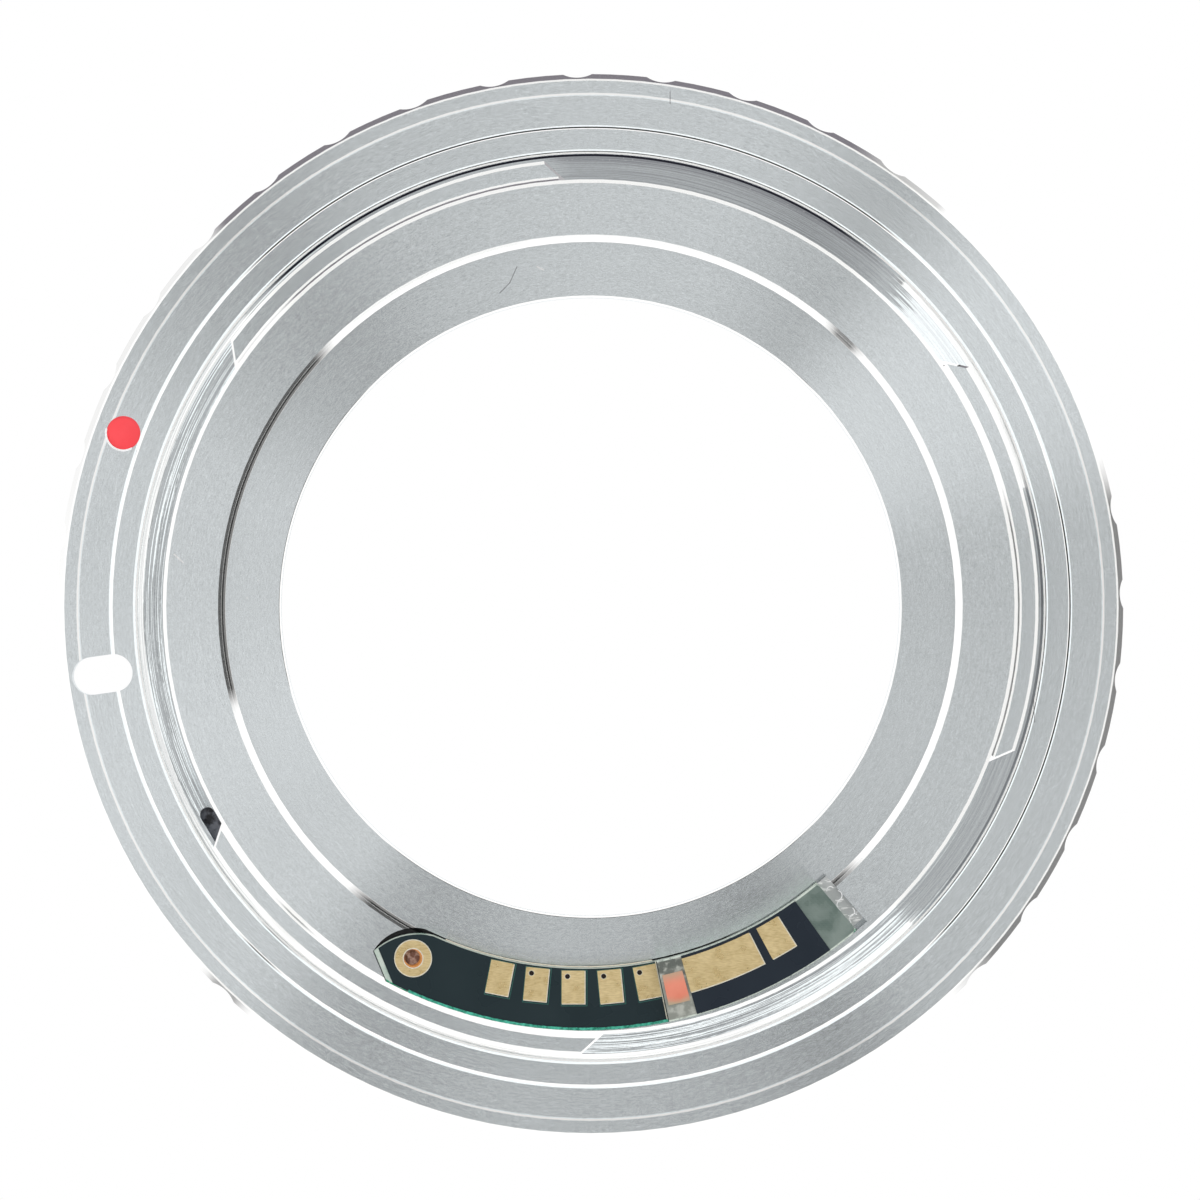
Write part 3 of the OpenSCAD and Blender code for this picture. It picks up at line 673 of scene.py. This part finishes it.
def laminate(name, dark, light, inner_edge, outer_edge, outer_tone):
    material, tree, shader, place = new_material(name)
    where = use_group(tree, ring_place, Position=mapped(tree, place, board_centre))
    radius = where["Radius"]
    weave = tree.nodes.new("ShaderNodeTexMagic")
    weave.turbulence_depth = 1
    weave.inputs["Scale"].default_value = 5200.0
    tree.links.new(place, weave.inputs["Vector"])
    cloth = tree.nodes.new("ShaderNodeRGBToBW")
    tree.links.new(weave.outputs["Color"], cloth.inputs[0])
    haze = stretch(tree, noise(tree, place, 650.0, 3.0), 0.36, 0.64, smooth=False)
    outward = stretch(tree, weighed(tree, (radius, 1.0), (haze, 2.0)), 22.6, 25.2)
    # Painted sheen: lighter patches on the bare strip.
    gleam = stretch(tree, noise(tree, place, 1700.0, 3.0), 0.48, 0.68)
    grey = blend(tree, outward, strip_dark, strip_light)
    grey = blend(tree, gleam, grey, (0.52, 0.53, 0.48, 1))
    strip = stretch(tree, towards(tree, where, strip_angle), 0.9990, 0.9993)
    colour = blend(tree, strip, blend(tree, haze, dark, light), grey)
    colour = blend(tree, times(tree, cloth.outputs[0], 0.15), colour, (0.3, 0.36, 0.33, 1))
    ragged = stretch(tree, noise(tree, place, 5000.0, 3.0), 0.3, 0.5, 0.35, 1.0)
    inside = stretch(tree, radius, inner_edge, inner_edge + 0.05, 1.0, 0.0)
    outside = stretch(tree, radius, outer_edge - 0.05, outer_edge)
    colour = blend(tree, times(tree, inside, ragged), colour, sawn_edge)
    colour = blend(tree, times(tree, outside, ragged), colour, outer_tone)
    give_finish(tree, shader, colour, haze, (0.25, 0.4), cloth.outputs[0], 3)
    return material


green_tones = (0.42, 0.56, 0.48, 1), (0.74, 0.82, 0.74, 1)
murky_tones = (0.10, 0.15, 0.13, 1), (0.23, 0.285, 0.26, 1)
lower_laminate = laminate("lower_laminate", *green_tones, 21.8, 25.36, wet_edge)
raised_laminate = laminate("raised_laminate", *murky_tones, 21.76, 25.35, sawn_edge)
print("materials", lower_laminate.name, raised_laminate.name)

# %% [markdown]
# The contacts are hard gold over nickel. Sliding camera pins polish them, and the copper under
# them isn't quite flat, so their tone is mottled and their grain runs one way. Such thin plating
# scatters much of the light, so the material is only half metal.

# %% Material: gold plating
gold, tree, shader, place = new_material("gold_plating")
mottle = noise(tree, place, 1300.0, 3.0, 0.6)
wipes = noise(tree, mapped(tree, place, turn=-12, scale=(3000.0, 14000.0, 3000.0)), 1.0)
tone = stretch(tree, weighed(tree, (mottle, 0.5), (wipes, 0.5)), 0.35, 0.65, smooth=False)
colour = blend(tree, tone, (0.68, 0.51, 0.235, 1), (0.92, 0.74, 0.41, 1))
give_finish(tree, shader, colour, mottle, (0.25, 0.38), tone, 6)
shader.inputs["Metallic"].default_value = 0.55
print("material", gold.name)

# %% [markdown]
# The amber patch is tinted film. It is thin at its two ends, where the board shows through it.

# %% Material: amber film
amber, tree, shader, place = new_material("amber_film")
warmth = noise(tree, place, 700.0, 3.0)
colour = blend(tree, warmth, (0.78, 0.20, 0.12, 1), (0.98, 0.36, 0.25, 1))
radius = use_group(tree, ring_place, Position=mapped(tree, place, board_centre))["Radius"]
faded = weighed(tree, (radius, 1.0), (warmth, 0.8))
inner_fade = stretch(tree, faded, 22.9, 23.9, 0.75, 0.0)
outer_fade = stretch(tree, faded, 24.3, 24.8, 0.0, 0.9)
fade = calc(tree, "MAXIMUM", inner_fade, outer_fade)
colour = blend(tree, fade, colour, (0.50, 0.44, 0.30, 1))
give_finish(tree, shader, colour, warmth, (0.3, 0.45))
print("material", amber.name)

# %% [markdown]
# The glue under the board is milky, with white veins where it was drawn out while it set.

# %% Material: milky glue
glue, tree, shader, place = new_material("milky_glue")
milk = noise(tree, place, 900.0, 3.0)
drawn = mapped(tree, place, turn=-40, scale=(1200.0, 5000.0, 1200.0))
veins = stretch(tree, noise(tree, drawn, 1.0, 3.0, 0.6), 0.56, 0.64)
colour = blend(tree, milk, (0.50, 0.51, 0.51, 1), (0.68, 0.70, 0.70, 1))
colour = blend(tree, veins, colour, (0.95, 0.95, 0.94, 1))
give_finish(tree, shader, colour, milk, (0.25, 0.45), milk, 30)
print("material", glue.name)

# %% [markdown]
# Where plating and lacquer end, they leave a pale nibbled rim, and resin leaves a green one. The pale one
# also paints highlights on edges.

# %% Materials: pale rims and green resin
pale_rim_and_highlight, tree, shader, place = new_material("pale_rim_and_highlight")
nibbles = noise(tree, place, 6000.0)
colour = blend(tree, nibbles, (0.62, 0.56, 0.40, 1), (1.0, 0.97, 0.86, 1))
give_finish(tree, shader, colour, nibbles, (0.3, 0.5), nibbles, 6)
green_resin, tree, shader, place = new_material("green_resin")
nibbles = noise(tree, place, 3500.0, 3.0, 0.6)
green = stretch(tree, nibbles, 0.35, 0.65, smooth=False)
colour = blend(tree, green, (0.01, 0.20, 0.13, 1), (0.08, 0.56, 0.40, 1))
give_finish(tree, shader, colour, nibbles, (0.2, 0.4), nibbles, 10)
print("materials", pale_rim_and_highlight.name, green_resin.name)

# %% [markdown]
# The plug in the eyelet is a dome of murky brown resin, whose centre is moved a little to one side.
# Beyond its edge, on the other side, an orange crescent is painted as light caught in the resin.

# %% Material: brown plug resin
plug_resin, tree, shader, place = new_material("brown_plug_resin")
eyelet_spot = at(23.47, 244.15, 0, board_centre)
dome_spot = eyelet_spot + Vector((-0.07, 0.07, 0)) * MM
from_dome = use_group(tree, ring_place, Position=mapped(tree, place, dome_spot))["Radius"]
orange_light_crescent = stretch(tree, from_dome, 0.45, 0.49)
murk = noise(tree, place, 3000.0, 3.0)
brown = stretch(tree, murk, 0.45, 0.65)
colour = blend(tree, brown, (0.15, 0.06, 0.035, 1), (0.42, 0.26, 0.20, 1))
# Painted light: an orange crescent beyond the dome's edge on one side.
colour = blend(tree, orange_light_crescent, colour, (0.72, 0.30, 0.09, 1))
give_finish(tree, shader, colour, murk, (0.08, 0.2), murk, 40)
print("material", plug_resin.name)

# %% [markdown]
# The rest are plain stuffs that differ only in their two tones, their grain and their gloss, so
# one function makes them all. Set glue is the whitest, and a weak glow stands for the light that
# gathers in it.


# %% Materials: moulded package, small resins, solder and ceramic
def mottled(name, dark, light, scale, roughness, metallic=0.0):
    material, tree, shader, place = new_material(name)
    mottle = noise(tree, place, scale, 3.0)
    colour = blend(tree, mottle, (*dark, 1), (*light, 1))
    give_finish(tree, shader, colour, mottle, roughness, mottle, 5, smooth=True)
    shader.inputs["Metallic"].default_value = metallic
    return material


package = mottled("moulded_package", (0.012, 0.012, 0.013), (0.03, 0.03, 0.031), 4000.0, (0.45, 0.6))
via_core = mottled("via_core", (0.003, 0.002, 0.002), (0.02, 0.008, 0.005), 4000.0, (0.8, 0.9))
window_resin = mottled("window_resin", (0.012, 0.08, 0.07), (0.03, 0.15, 0.12), 3000.0, (0.3, 0.45))
set_glue = mottled("set_glue", (0.80, 0.81, 0.81), (1.0, 1.0, 1.0), 6000.0, (0.2, 0.4))
glue_shader = set_glue.node_tree.nodes["Principled BSDF"]
glue_shader.inputs["Emission Color"].default_value = (1, 1, 1, 1)
glue_shader.inputs["Emission Strength"].default_value = 0.2
solder = mottled("tin_solder", (0.55, 0.56, 0.57), (0.75, 0.76, 0.77), 3000.0, (0.2, 0.4), 1.0)
ceramic = mottled("capacitor_ceramic", (0.35, 0.25, 0.16), (0.46, 0.34, 0.22), 3500.0, (0.4, 0.55))
print("materials", package.name, solder.name, ceramic.name)

# %% [markdown]
# Each solid came in with a plain material for its slot in the record. Every solid of a slot now
# gets the finish that was made for it. The raised board and its lacquer have finishes of their own.

# %% Dress the solids
finishes = {
    "aluminium": aluminium,
    "index_paint": index_enamel,
    "adhesive": glue,
    "board_laminate": lower_laminate,
    "solder_mask": solder_mask,
    "gold_plating": gold,
    "plug_resin": plug_resin,
    "amber_film": amber,
    "moulded_package": package,
    "solder": solder,
    "capacitor_ceramic": ceramic,
}
slot_of = {name: node.material_slots[0].material.name for name, node in nodes.items()}
for name, node in nodes.items():
    node.material_slots[0].material = finishes[slot_of[name]]
nodes["raised_board"].material_slots[0].material = raised_laminate
nodes["raised_mask"].material_slots[0].material = raised_solder_mask
print("dressed", len(slot_of), "solids")

# %% [markdown]
# Most small pieces here are a little rectangle that is swept round an axis, and what repeats is
# copied round one. So three helpers come first: one stands a rectangle on its edge, one sweeps it
# into an arc or a ring, and one copies a piece at even steps. Each piece is softened at its
# corners, dressed, and tied to the ring, so that it moves with it.


# %% Helpers for pieces round an axis
def finish_piece(piece, finish, soften):
    bpy.ops.mesh.select_all(action="SELECT")
    bpy.ops.mesh.normals_make_consistent(inside=False)
    bpy.ops.object.mode_set(mode="OBJECT")
    bpy.ops.object.transform_apply(location=True, rotation=True, scale=True)
    if soften:
        rounding = piece.modifiers.new("rounding", "BEVEL")
        rounding.width = soften * MM
        rounding.segments = 2
        rounding.limit_method = "ANGLE"
        rounding.angle_limit = math.radians(40)
        bpy.ops.object.modifier_apply(modifier="rounding")
    bpy.ops.object.shade_smooth_by_angle(angle=math.radians(30))
    piece.data.materials.append(finish)
    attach(piece, "root")
    return piece


def upright_plate(name, inner, outer, low, high, centre):
    middle = centre + Vector(((inner + outer) / 2, 0, (low + high) / 2)) * MM
    start_clean()
    bpy.ops.mesh.primitive_plane_add(size=1 * MM, location=middle)
    piece = bpy.context.object
    piece.name = name
    bpy.ops.object.mode_set(mode="EDIT")
    bpy.ops.mesh.select_all(action="SELECT")
    bpy.ops.transform.rotate(value=math.radians(90), orient_axis="X", center_override=middle)
    bpy.ops.transform.resize(value=(outer - inner, 1, high - low), center_override=middle)
    return piece, middle


def swept(name, radii, heights, angles, centre, finish, slot, soften, steps):
    piece, _ = upright_plate(name, *radii, *heights, centre)
    start, stop = angles
    if stop - start >= 360:
        bpy.ops.mesh.delete(type="ONLY_FACE")
        bpy.ops.mesh.select_all(action="SELECT")
    bpy.ops.mesh.spin(steps=steps, angle=math.radians(stop - start), center=centre, axis=(0, 0, 1))
    bpy.ops.mesh.select_all(action="SELECT")
    bpy.ops.mesh.remove_doubles(threshold=0.5 * MICRON)
    bpy.ops.transform.rotate(value=math.radians(-stop), orient_axis="Z", center_override=centre)
    return finish_piece(piece, finish, soften)


def copies(piece, count, step, centre):
    made = [piece]
    for _ in range(count - 1):
        start_clean()
        made[-1].select_set(True)
        bpy.context.view_layer.objects.active = made[-1]
        bpy.ops.object.duplicate()
        made.append(bpy.context.object)
        bpy.ops.object.mode_set(mode="EDIT")
        bpy.ops.mesh.select_all(action="SELECT")
        bpy.ops.transform.rotate(value=math.radians(-step), orient_axis="Z", center_override=centre)
        bpy.ops.object.mode_set(mode="OBJECT")
        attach(made[-1], "root")
    return made


print("helpers for pieces ready")

# %% [markdown]
# The lens screws into a fine thread, one turn to each millimetre. A thread is one tooth's outline
# carried round the axis while it climbs, which is what the Screw modifier does. The ring's bore is
# already cut to the thread's full width, so only the ridge between the turns is added here, with
# its root sunk a little into the wall. Its crest is narrower than its root.

# %% Lens thread
thread_r, thread_turns, pitch, steps_a_turn = 21.0, 4, 1.0, 96
ridge_radii, ridge_heights, crest_share = (thread_r - 0.52, thread_r + 0.02), (0.56, 1.48), 0.15
thread, middle = upright_plate("lens_thread_ridge", *ridge_radii, *ridge_heights, ring_centre)
bpy.ops.mesh.delete(type="ONLY_FACE")
bpy.ops.mesh.select_mode(type="VERT")
bpy.ops.mesh.select_all(action="DESELECT")
bpy.ops.object.mode_set(mode="OBJECT")
for vertex in thread.data.vertices:
    vertex.select = (thread.matrix_world @ vertex.co).x < (thread_r - 0.25) * MM
bpy.ops.object.mode_set(mode="EDIT")
bpy.ops.transform.resize(value=(1, 1, crest_share), center_override=middle)
bpy.ops.object.mode_set(mode="OBJECT")
bpy.ops.object.transform_apply(location=True, rotation=True, scale=True)
climb = thread.modifiers.new("climb", "SCREW")
climb.axis = "Z"
climb.angle = math.radians(360 * thread_turns)
climb.screw_offset = pitch * thread_turns * MM
climb.steps = steps_a_turn * thread_turns
climb.render_steps = steps_a_turn * thread_turns
climb.use_merge_vertices = False
climb.use_normal_calculate = True
bpy.ops.object.modifier_apply(modifier="climb")
bpy.ops.object.mode_set(mode="EDIT")
bpy.ops.mesh.select_all(action="SELECT")
bpy.ops.mesh.remove_doubles(threshold=1 * MICRON)
bpy.ops.mesh.select_all(action="DESELECT")
bpy.ops.mesh.select_non_manifold()
bpy.ops.mesh.edge_face_add()
finish_piece(thread, aluminium, 0)
print("thread", len(thread.data.polygons), "faces")

# %% [markdown]
# A board that was cut and plated by hand shows it at its edges. A pale frame under each contact
# reaches a little past the gold on the two sides that face the light, as a painted highlight where the
# contact's edges catch the light.
# Round each window in the lacquer the resin shows as a thin dark green line. Both are frames that
# lie mostly under the contacts, so only their borders are seen.

# %% Rims and windows of the small contacts
board_top, raised_top, pad_top = 6.56, 7.36, 6.61
pad_r, pad_angle, pad_step, pad_turn, pad_count = 22.86, 257.26, 5.6, 1.5, 5
plating_and_highlight = pale_rim_and_highlight, "gold_plating"
green_line = window_resin, "board_laminate"


def thin_frame(name, shift, size, border, thickness, finish, slot):
    spot = at(pad_r, 0, board_top, board_centre)
    start_clean()
    bpy.ops.mesh.primitive_plane_add(size=1 * MM, location=spot + Vector((shift, shift, 0)) * MM)
    piece = bpy.context.object
    piece.name = name
    bpy.ops.object.mode_set(mode="EDIT")
    bpy.ops.mesh.select_all(action="SELECT")
    bpy.ops.transform.resize(value=(*size, 1), center_override=piece.location)
    bpy.ops.mesh.inset(thickness=border * MM)
    bpy.ops.mesh.delete(type="FACE")
    bpy.ops.mesh.select_all(action="SELECT")
    rise = (0, 0, thickness * MM)
    bpy.ops.mesh.extrude_region_move(TRANSFORM_OT_translate={"value": rise})
    bpy.ops.mesh.select_all(action="SELECT")
    for turn, pivot in ((pad_turn, spot), (pad_angle, board_centre)):
        bpy.ops.transform.rotate(value=math.radians(-turn), orient_axis="Z", center_override=pivot)
    finish_piece(piece, finish, 0.01)
    return copies(piece, pad_count, pad_step, board_centre)


# Painted highlight: each pale frame shows past its contact on the lit sides.
rims = thin_frame("pad_highlight_rim", 0.035, (2.02, 1.42), 0.12, 0.04, *plating_and_highlight)
windows = thin_frame("mask_window", 0.06, (2.19, 1.59), 0.05, 0.026, *green_line)
print("frames", len(rims) + len(windows))

# %% [markdown]
# Four of the contacts have a small hole. Each gets a thin plated ring, and a dark floor inside it,
# because a hole this narrow and deep shows no light.

# %% Small holes
via_count, via_r, via_floor = pad_count - 1, 0.15, board_top + 0.01
all_round = (0, 360)
via_spot = at(22.232, pad_angle + pad_step - 0.919, 0, board_centre)
ring_radii, ring_heights = (via_r, via_r + 0.03), (pad_top - 0.01, pad_top + 0.008)
first_ring = swept("via_ring", ring_radii, ring_heights, all_round, via_spot, *plating_and_highlight, 0.004, 32)
rings = copies(first_ring, via_count, pad_step, board_centre)
start_clean()
floor_spot = via_spot + at(0, 0, via_floor)
floor_r = (via_r - 0.001) * MM
bpy.ops.mesh.primitive_circle_add(vertices=32, radius=floor_r, fill_type="NGON", location=floor_spot)
hole = bpy.context.object
hole.name = "via_bottom"
bpy.ops.object.mode_set(mode="EDIT")
bpy.ops.mesh.select_all(action="SELECT")
bpy.ops.mesh.extrude_region_move(TRANSFORM_OT_translate={"value": (0, 0, 0.015 * MM)})
finish_piece(hole, via_core, 0.003)
holes = copies(hole, via_count, pad_step, board_centre)
print("rings and floors", len(rings) + len(holes))

# %% [markdown]
# The two long contacts and the eyelet get the same pale rims, painted highlights as arcs and rings. A
# ring of resin closes the gap between the eyelet's collar and its plug.

# %% Rims of the long contacts and the eyelet
long_rim_radii, long_rim_heights = (21.95, 24.05), (raised_top, raised_top + 0.04)
# Painted highlights on the edges of the long contacts and the eyelet.
for name, arc, steps in (("wide_pad_rim", (285.65, 297.06), 40), ("end_pad_rim", (298.3, 302.26), 16)):
    swept(name, long_rim_radii, long_rim_heights, arc, board_centre, *plating_and_highlight, 0.01, steps)
rim_heights = (board_top, board_top + 0.04)
swept("eyelet_outer_rim", (1.07, 1.14), rim_heights, all_round, eyelet_spot, *plating_and_highlight, 0.01, 64)
collar_heights = (pad_top - 0.01, pad_top + 0.04)
swept("eyelet_collar", (0.56, 0.63), collar_heights, all_round, eyelet_spot, *plating_and_highlight, 0.02, 48)
gap_heights, brown_resin = (pad_top - 0.01, pad_top + 0.025), (plug_resin, "plug_resin")
swept("eyelet_resin", (0.46, 0.57), gap_heights, all_round, eyelet_spot, *brown_resin, 0.01, 48)
print("rims done")

# %% [markdown]
# The lower board's outer edge is a ragged line of green resin, which is an arc pushed about by a
# noise texture. A pale line of glue runs along its inner edge, and the lacquer ends at the bare
# strip in two pale edges.

# %% Ragged green edge and glue lines
run_radii, run_heights, run_arc = (25.29, 25.45), (board_top + 0.01, board_top + 0.06), (245.5, 281.6)
green_run = green_resin, "board_laminate"
edge_line = swept("green_edge", run_radii, run_heights, run_arc, board_centre, *green_run, 0, 400)
ragged = bpy.data.textures.new("ragged", "CLOUDS")
ragged.noise_scale = 0.25 * MM
push = edge_line.modifiers.new("push", "DISPLACE")
push.texture = ragged
push.strength = 0.08 * MM
push.mid_level = 0.5
start_clean()
edge_line.select_set(True)
bpy.context.view_layer.objects.active = edge_line
bpy.ops.object.modifier_apply(modifier="push")
pale_glue = pale_rim_and_highlight, "adhesive"
glue_heights, glue_arc = (board_top - 0.21, board_top + 0.01), (247.5, 281.0)
swept("inner_glue_line", (21.6, 21.67), glue_heights, glue_arc, board_centre, *pale_glue, 0.02, 120)
for side, arc in (("left", (281.42, 281.56)), ("right", (285.42, 285.56))):
    swept(f"mask_edge_{side}", (21.75, 25.3), rim_heights, arc, board_centre, *pale_glue, 0.01, 3)
print("edge", len(edge_line.data.polygons), "faces")

# %% [markdown]
# A burr stands beside the index dot, where the drill pushed the metal up. It is a painted highlight:
# a white crescent on one side, in the set glue's glowing finish. At the board's square end the glue
# was drawn into curled strands. Both are short arcs of a narrow section.

# %% Burr beside the index dot, and glue strands
dot_spot, burr_radii, burr_heights, burr_arc = at(30.36, 159.6, 0), (1.0, 1.12), (1.3, 1.37), (165, 300)
# Painted highlight: the burr is white and glows with the set glue's finish.
swept("index_burr_highlight", burr_radii, burr_heights, burr_arc, dot_spot, set_glue, "aluminium", 0.015, 40)
strand_heights, half_width = (board_top - 0.08, board_top), 0.025
strands = [
    (24.85, 311.0, 0.30, (60, 230)),
    (24.35, 311.2, 0.26, (-120, 60)),
    (23.75, 311.0, 0.34, (80, 250)),
    (23.10, 311.3, 0.30, (-110, 80)),
    (22.60, 311.1, 0.22, (40, 200)),
]
for count, (from_centre, angle, bend, arc) in enumerate(strands, 1):
    spot = at(from_centre, angle, 0, board_centre)
    radii = (bend - half_width, bend + half_width)
    swept(f"glue_strand_{count}", radii, strand_heights, arc, spot, set_glue, "adhesive", 0.02, 16)
print("strands", len(strands))

# %% [markdown]
# Bright metal shows what stands round it, so a photographer lights the surroundings and not the
# metal. Here a dome stands for the studio. Its ceiling is what the flat faces show, and its wall
# near the floor is what every chamfer shows, because a 45 degree face turns the camera's view
# level. Both are painted by the compass: one colour ramp gives the ceiling's brightness all
# round and one gives the wall's, as lit panels and dark cards do in a real studio. The third
# table is for the mat that comes after the dome. Three more numbers in a row are its tint.

# %% Light levels all round
lit, dark = 1.25, 0.04
ceiling_levels = [
    (0, 0.50), (10, 0.43), (20, 0.77), (30, 0.82), (40, 0.88), (46, 0.66), (52, 0.30),
    (60, 0.58), (70, 0.78), (80, 0.70), (90, 0.73), (105, 0.67), (120, 0.63), (130, 0.33),
    (140, 0.37), (150, 0.54), (160, 0.76), (175, 0.70), (190, 0.81), (205, 0.78), (218, 0.63),
    (228, 0.86), (236, 0.32), (245, 0.27), (260, 0.48), (275, 0.45), (290, 0.35), (300, 0.13),
    (310, 0.59), (320, 0.61), (340, 0.57), (360, 0.50),
]
wall_levels = [
    (0, dark), (13, dark), (16, lit), (49, lit), (53, dark), (133, dark), (137, lit),
    (223, lit), (225, 0.25), (228, 0.25), (230, lit), (314, lit), (318, dark), (360, dark),
]
mat_levels = [
    (0, 0.30), (12, 0.30), (13, 0.75), (17, lit), (48, lit), (49, 0.75), (56, 0.66),
    (60, 0.26, 1.02, 0.96, 1.08), (134, 0.26, 1.02, 0.96, 1.07), (136, 0.95), (160, 1.0),
    (180, 1.15), (223, lit), (225, 0.5), (228, 0.5), (230, lit), (312, lit), (316, 0.8),
    (319, 0.30), (360, 0.30),
]
print("levels:", len(ceiling_levels), "for the ceiling,", len(wall_levels), "for the wall")

# %% [markdown]
# The dome is half a sphere with a radius of 1 m. Between its wall and its ceiling runs an evenly
# lit belt. It glows, but isn't sampled as a lamp: bounced rays find a surface this large by
# themselves. The camera looks through it.


# %% Studio dome
def glow_by_compass(name, below, above):
    material = bpy.data.materials.new(name)
    material.use_nodes = True
    tree = material.node_tree
    tree.nodes.remove(tree.nodes["Principled BSDF"])
    place = tree.nodes.new("ShaderNodeTexCoord").outputs["Object"]
    top, height = compass(tree, place, above)
    wall, _ = compass(tree, place, below)
    belt = (lit, lit, 1.24, 1)
    lower = blend(tree, stretch(tree, height, 0.22, 0.36), wall, belt)
    in_ceiling = stretch(tree, height, 0.62, 0.76)
    glow = tree.nodes.new("ShaderNodeEmission")
    put(tree, glow.inputs["Color"], blend(tree, in_ceiling, lower, top))
    tree.links.new(glow.outputs[0], tree.nodes["Material Output"].inputs["Surface"])
    material.cycles.emission_sampling = "NONE"
    return material


start_clean()
bpy.ops.mesh.primitive_uv_sphere_add(segments=64, ring_count=24, radius=1, location=(0, 0, 0))
dome = bpy.context.object
dome.name = "studio_dome"
bpy.ops.object.mode_set(mode="EDIT")
bpy.ops.mesh.select_all(action="SELECT")
bpy.ops.mesh.bisect(plane_co=(0, 0, 0.2 * MM), plane_no=(0, 0, 1), clear_inner=True)
bpy.ops.object.mode_set(mode="OBJECT")
dome.data.materials.append(glow_by_compass("studio_dome", wall_levels, ceiling_levels))
dome.visible_camera = False
print("dome", len(dome.data.polygons), "faces")

# %% [markdown]
# The rim's chamfer looks down a little, at the sheet right beside the ring. A thin mat with its own
# pattern lies there. Only reflections see it, so the sheet itself stays white.

# %% Reflection mat
mat_inner_r, mat_widening = 33.2, 29
start_clean()
bpy.ops.mesh.primitive_circle_add(radius=mat_inner_r * MM, vertices=96, location=(0, 0, 0.1 * MM))
mat = bpy.context.object
mat.name = "reflection_mat"
bpy.ops.object.mode_set(mode="EDIT")
bpy.ops.mesh.select_all(action="SELECT")
bpy.ops.mesh.extrude_edges_move()
bpy.ops.transform.resize(value=(mat_widening, mat_widening, 1))
bpy.ops.object.mode_set(mode="OBJECT")
bpy.ops.object.transform_apply(location=True)
mat.data.materials.append(glow_by_compass("reflection_mat", mat_levels, mat_levels))
mat.visible_camera = False
mat.visible_diffuse = False
mat.visible_shadow = False
mat.visible_transmission = False
print("mat", [round(v, 3) for v in mat.dimensions])

# %% [markdown]
# The world beyond is plain white at strength 1, so the background is pure white from every side.

# %% World
world = bpy.data.worlds.new("white_studio")
bpy.context.scene.world = world
world.use_nodes = True
sky = world.node_tree.nodes["Background"].inputs
sky["Color"].default_value = (1, 1, 1, 1)
sky["Strength"].default_value = 1.0
print("world", world.name)

# %% [markdown]
# The floor is a plain white sheet that is lit from below, like a light table. Seen by the camera
# and in reflections it glows pure white, so no shadow lies on it. For all other light it is white
# card that throws light back. Its underside is clear, so that the ring can be seen from below.

# %% Floor
start_clean()
bpy.ops.mesh.primitive_plane_add(size=6, location=(0, 0, -0.1 * MM))
floor = bpy.context.object
floor.name = "white_floor"
sheet = bpy.data.materials.new("white_floor")
sheet.use_nodes = True
tree = sheet.node_tree
card = tree.nodes["Principled BSDF"]
card.inputs["Base Color"].default_value = (0.9, 0.9, 0.9, 1)
card.inputs["Roughness"].default_value = 0.9
glow = tree.nodes.new("ShaderNodeEmission")
glow.inputs["Color"].default_value = (1, 1, 1, 1)
rays = tree.nodes.new("ShaderNodeLightPath").outputs
seen = calc(tree, "MAXIMUM", rays["Is Camera Ray"], rays["Is Glossy Ray"])
seen = calc(tree, "MAXIMUM", seen, rays["Is Transmission Ray"])
back = tree.nodes.new("ShaderNodeNewGeometry").outputs["Backfacing"]
clear_back = tree.nodes.new("ShaderNodeBsdfTransparent")


def mix_shaders(share, first, second):
    node = tree.nodes.new("ShaderNodeMixShader")
    for socket, value in zip(node.inputs, (share, first, second)):
        tree.links.new(value, socket)
    return node.outputs[0]


lit_sheet = mix_shaders(seen, card.outputs[0], glow.outputs[0])
one_sided = mix_shaders(back, lit_sheet, clear_back.outputs[0])
tree.links.new(one_sided, tree.nodes["Material Output"].inputs["Surface"])
floor.data.materials.append(sheet)
print("floor", floor.name)
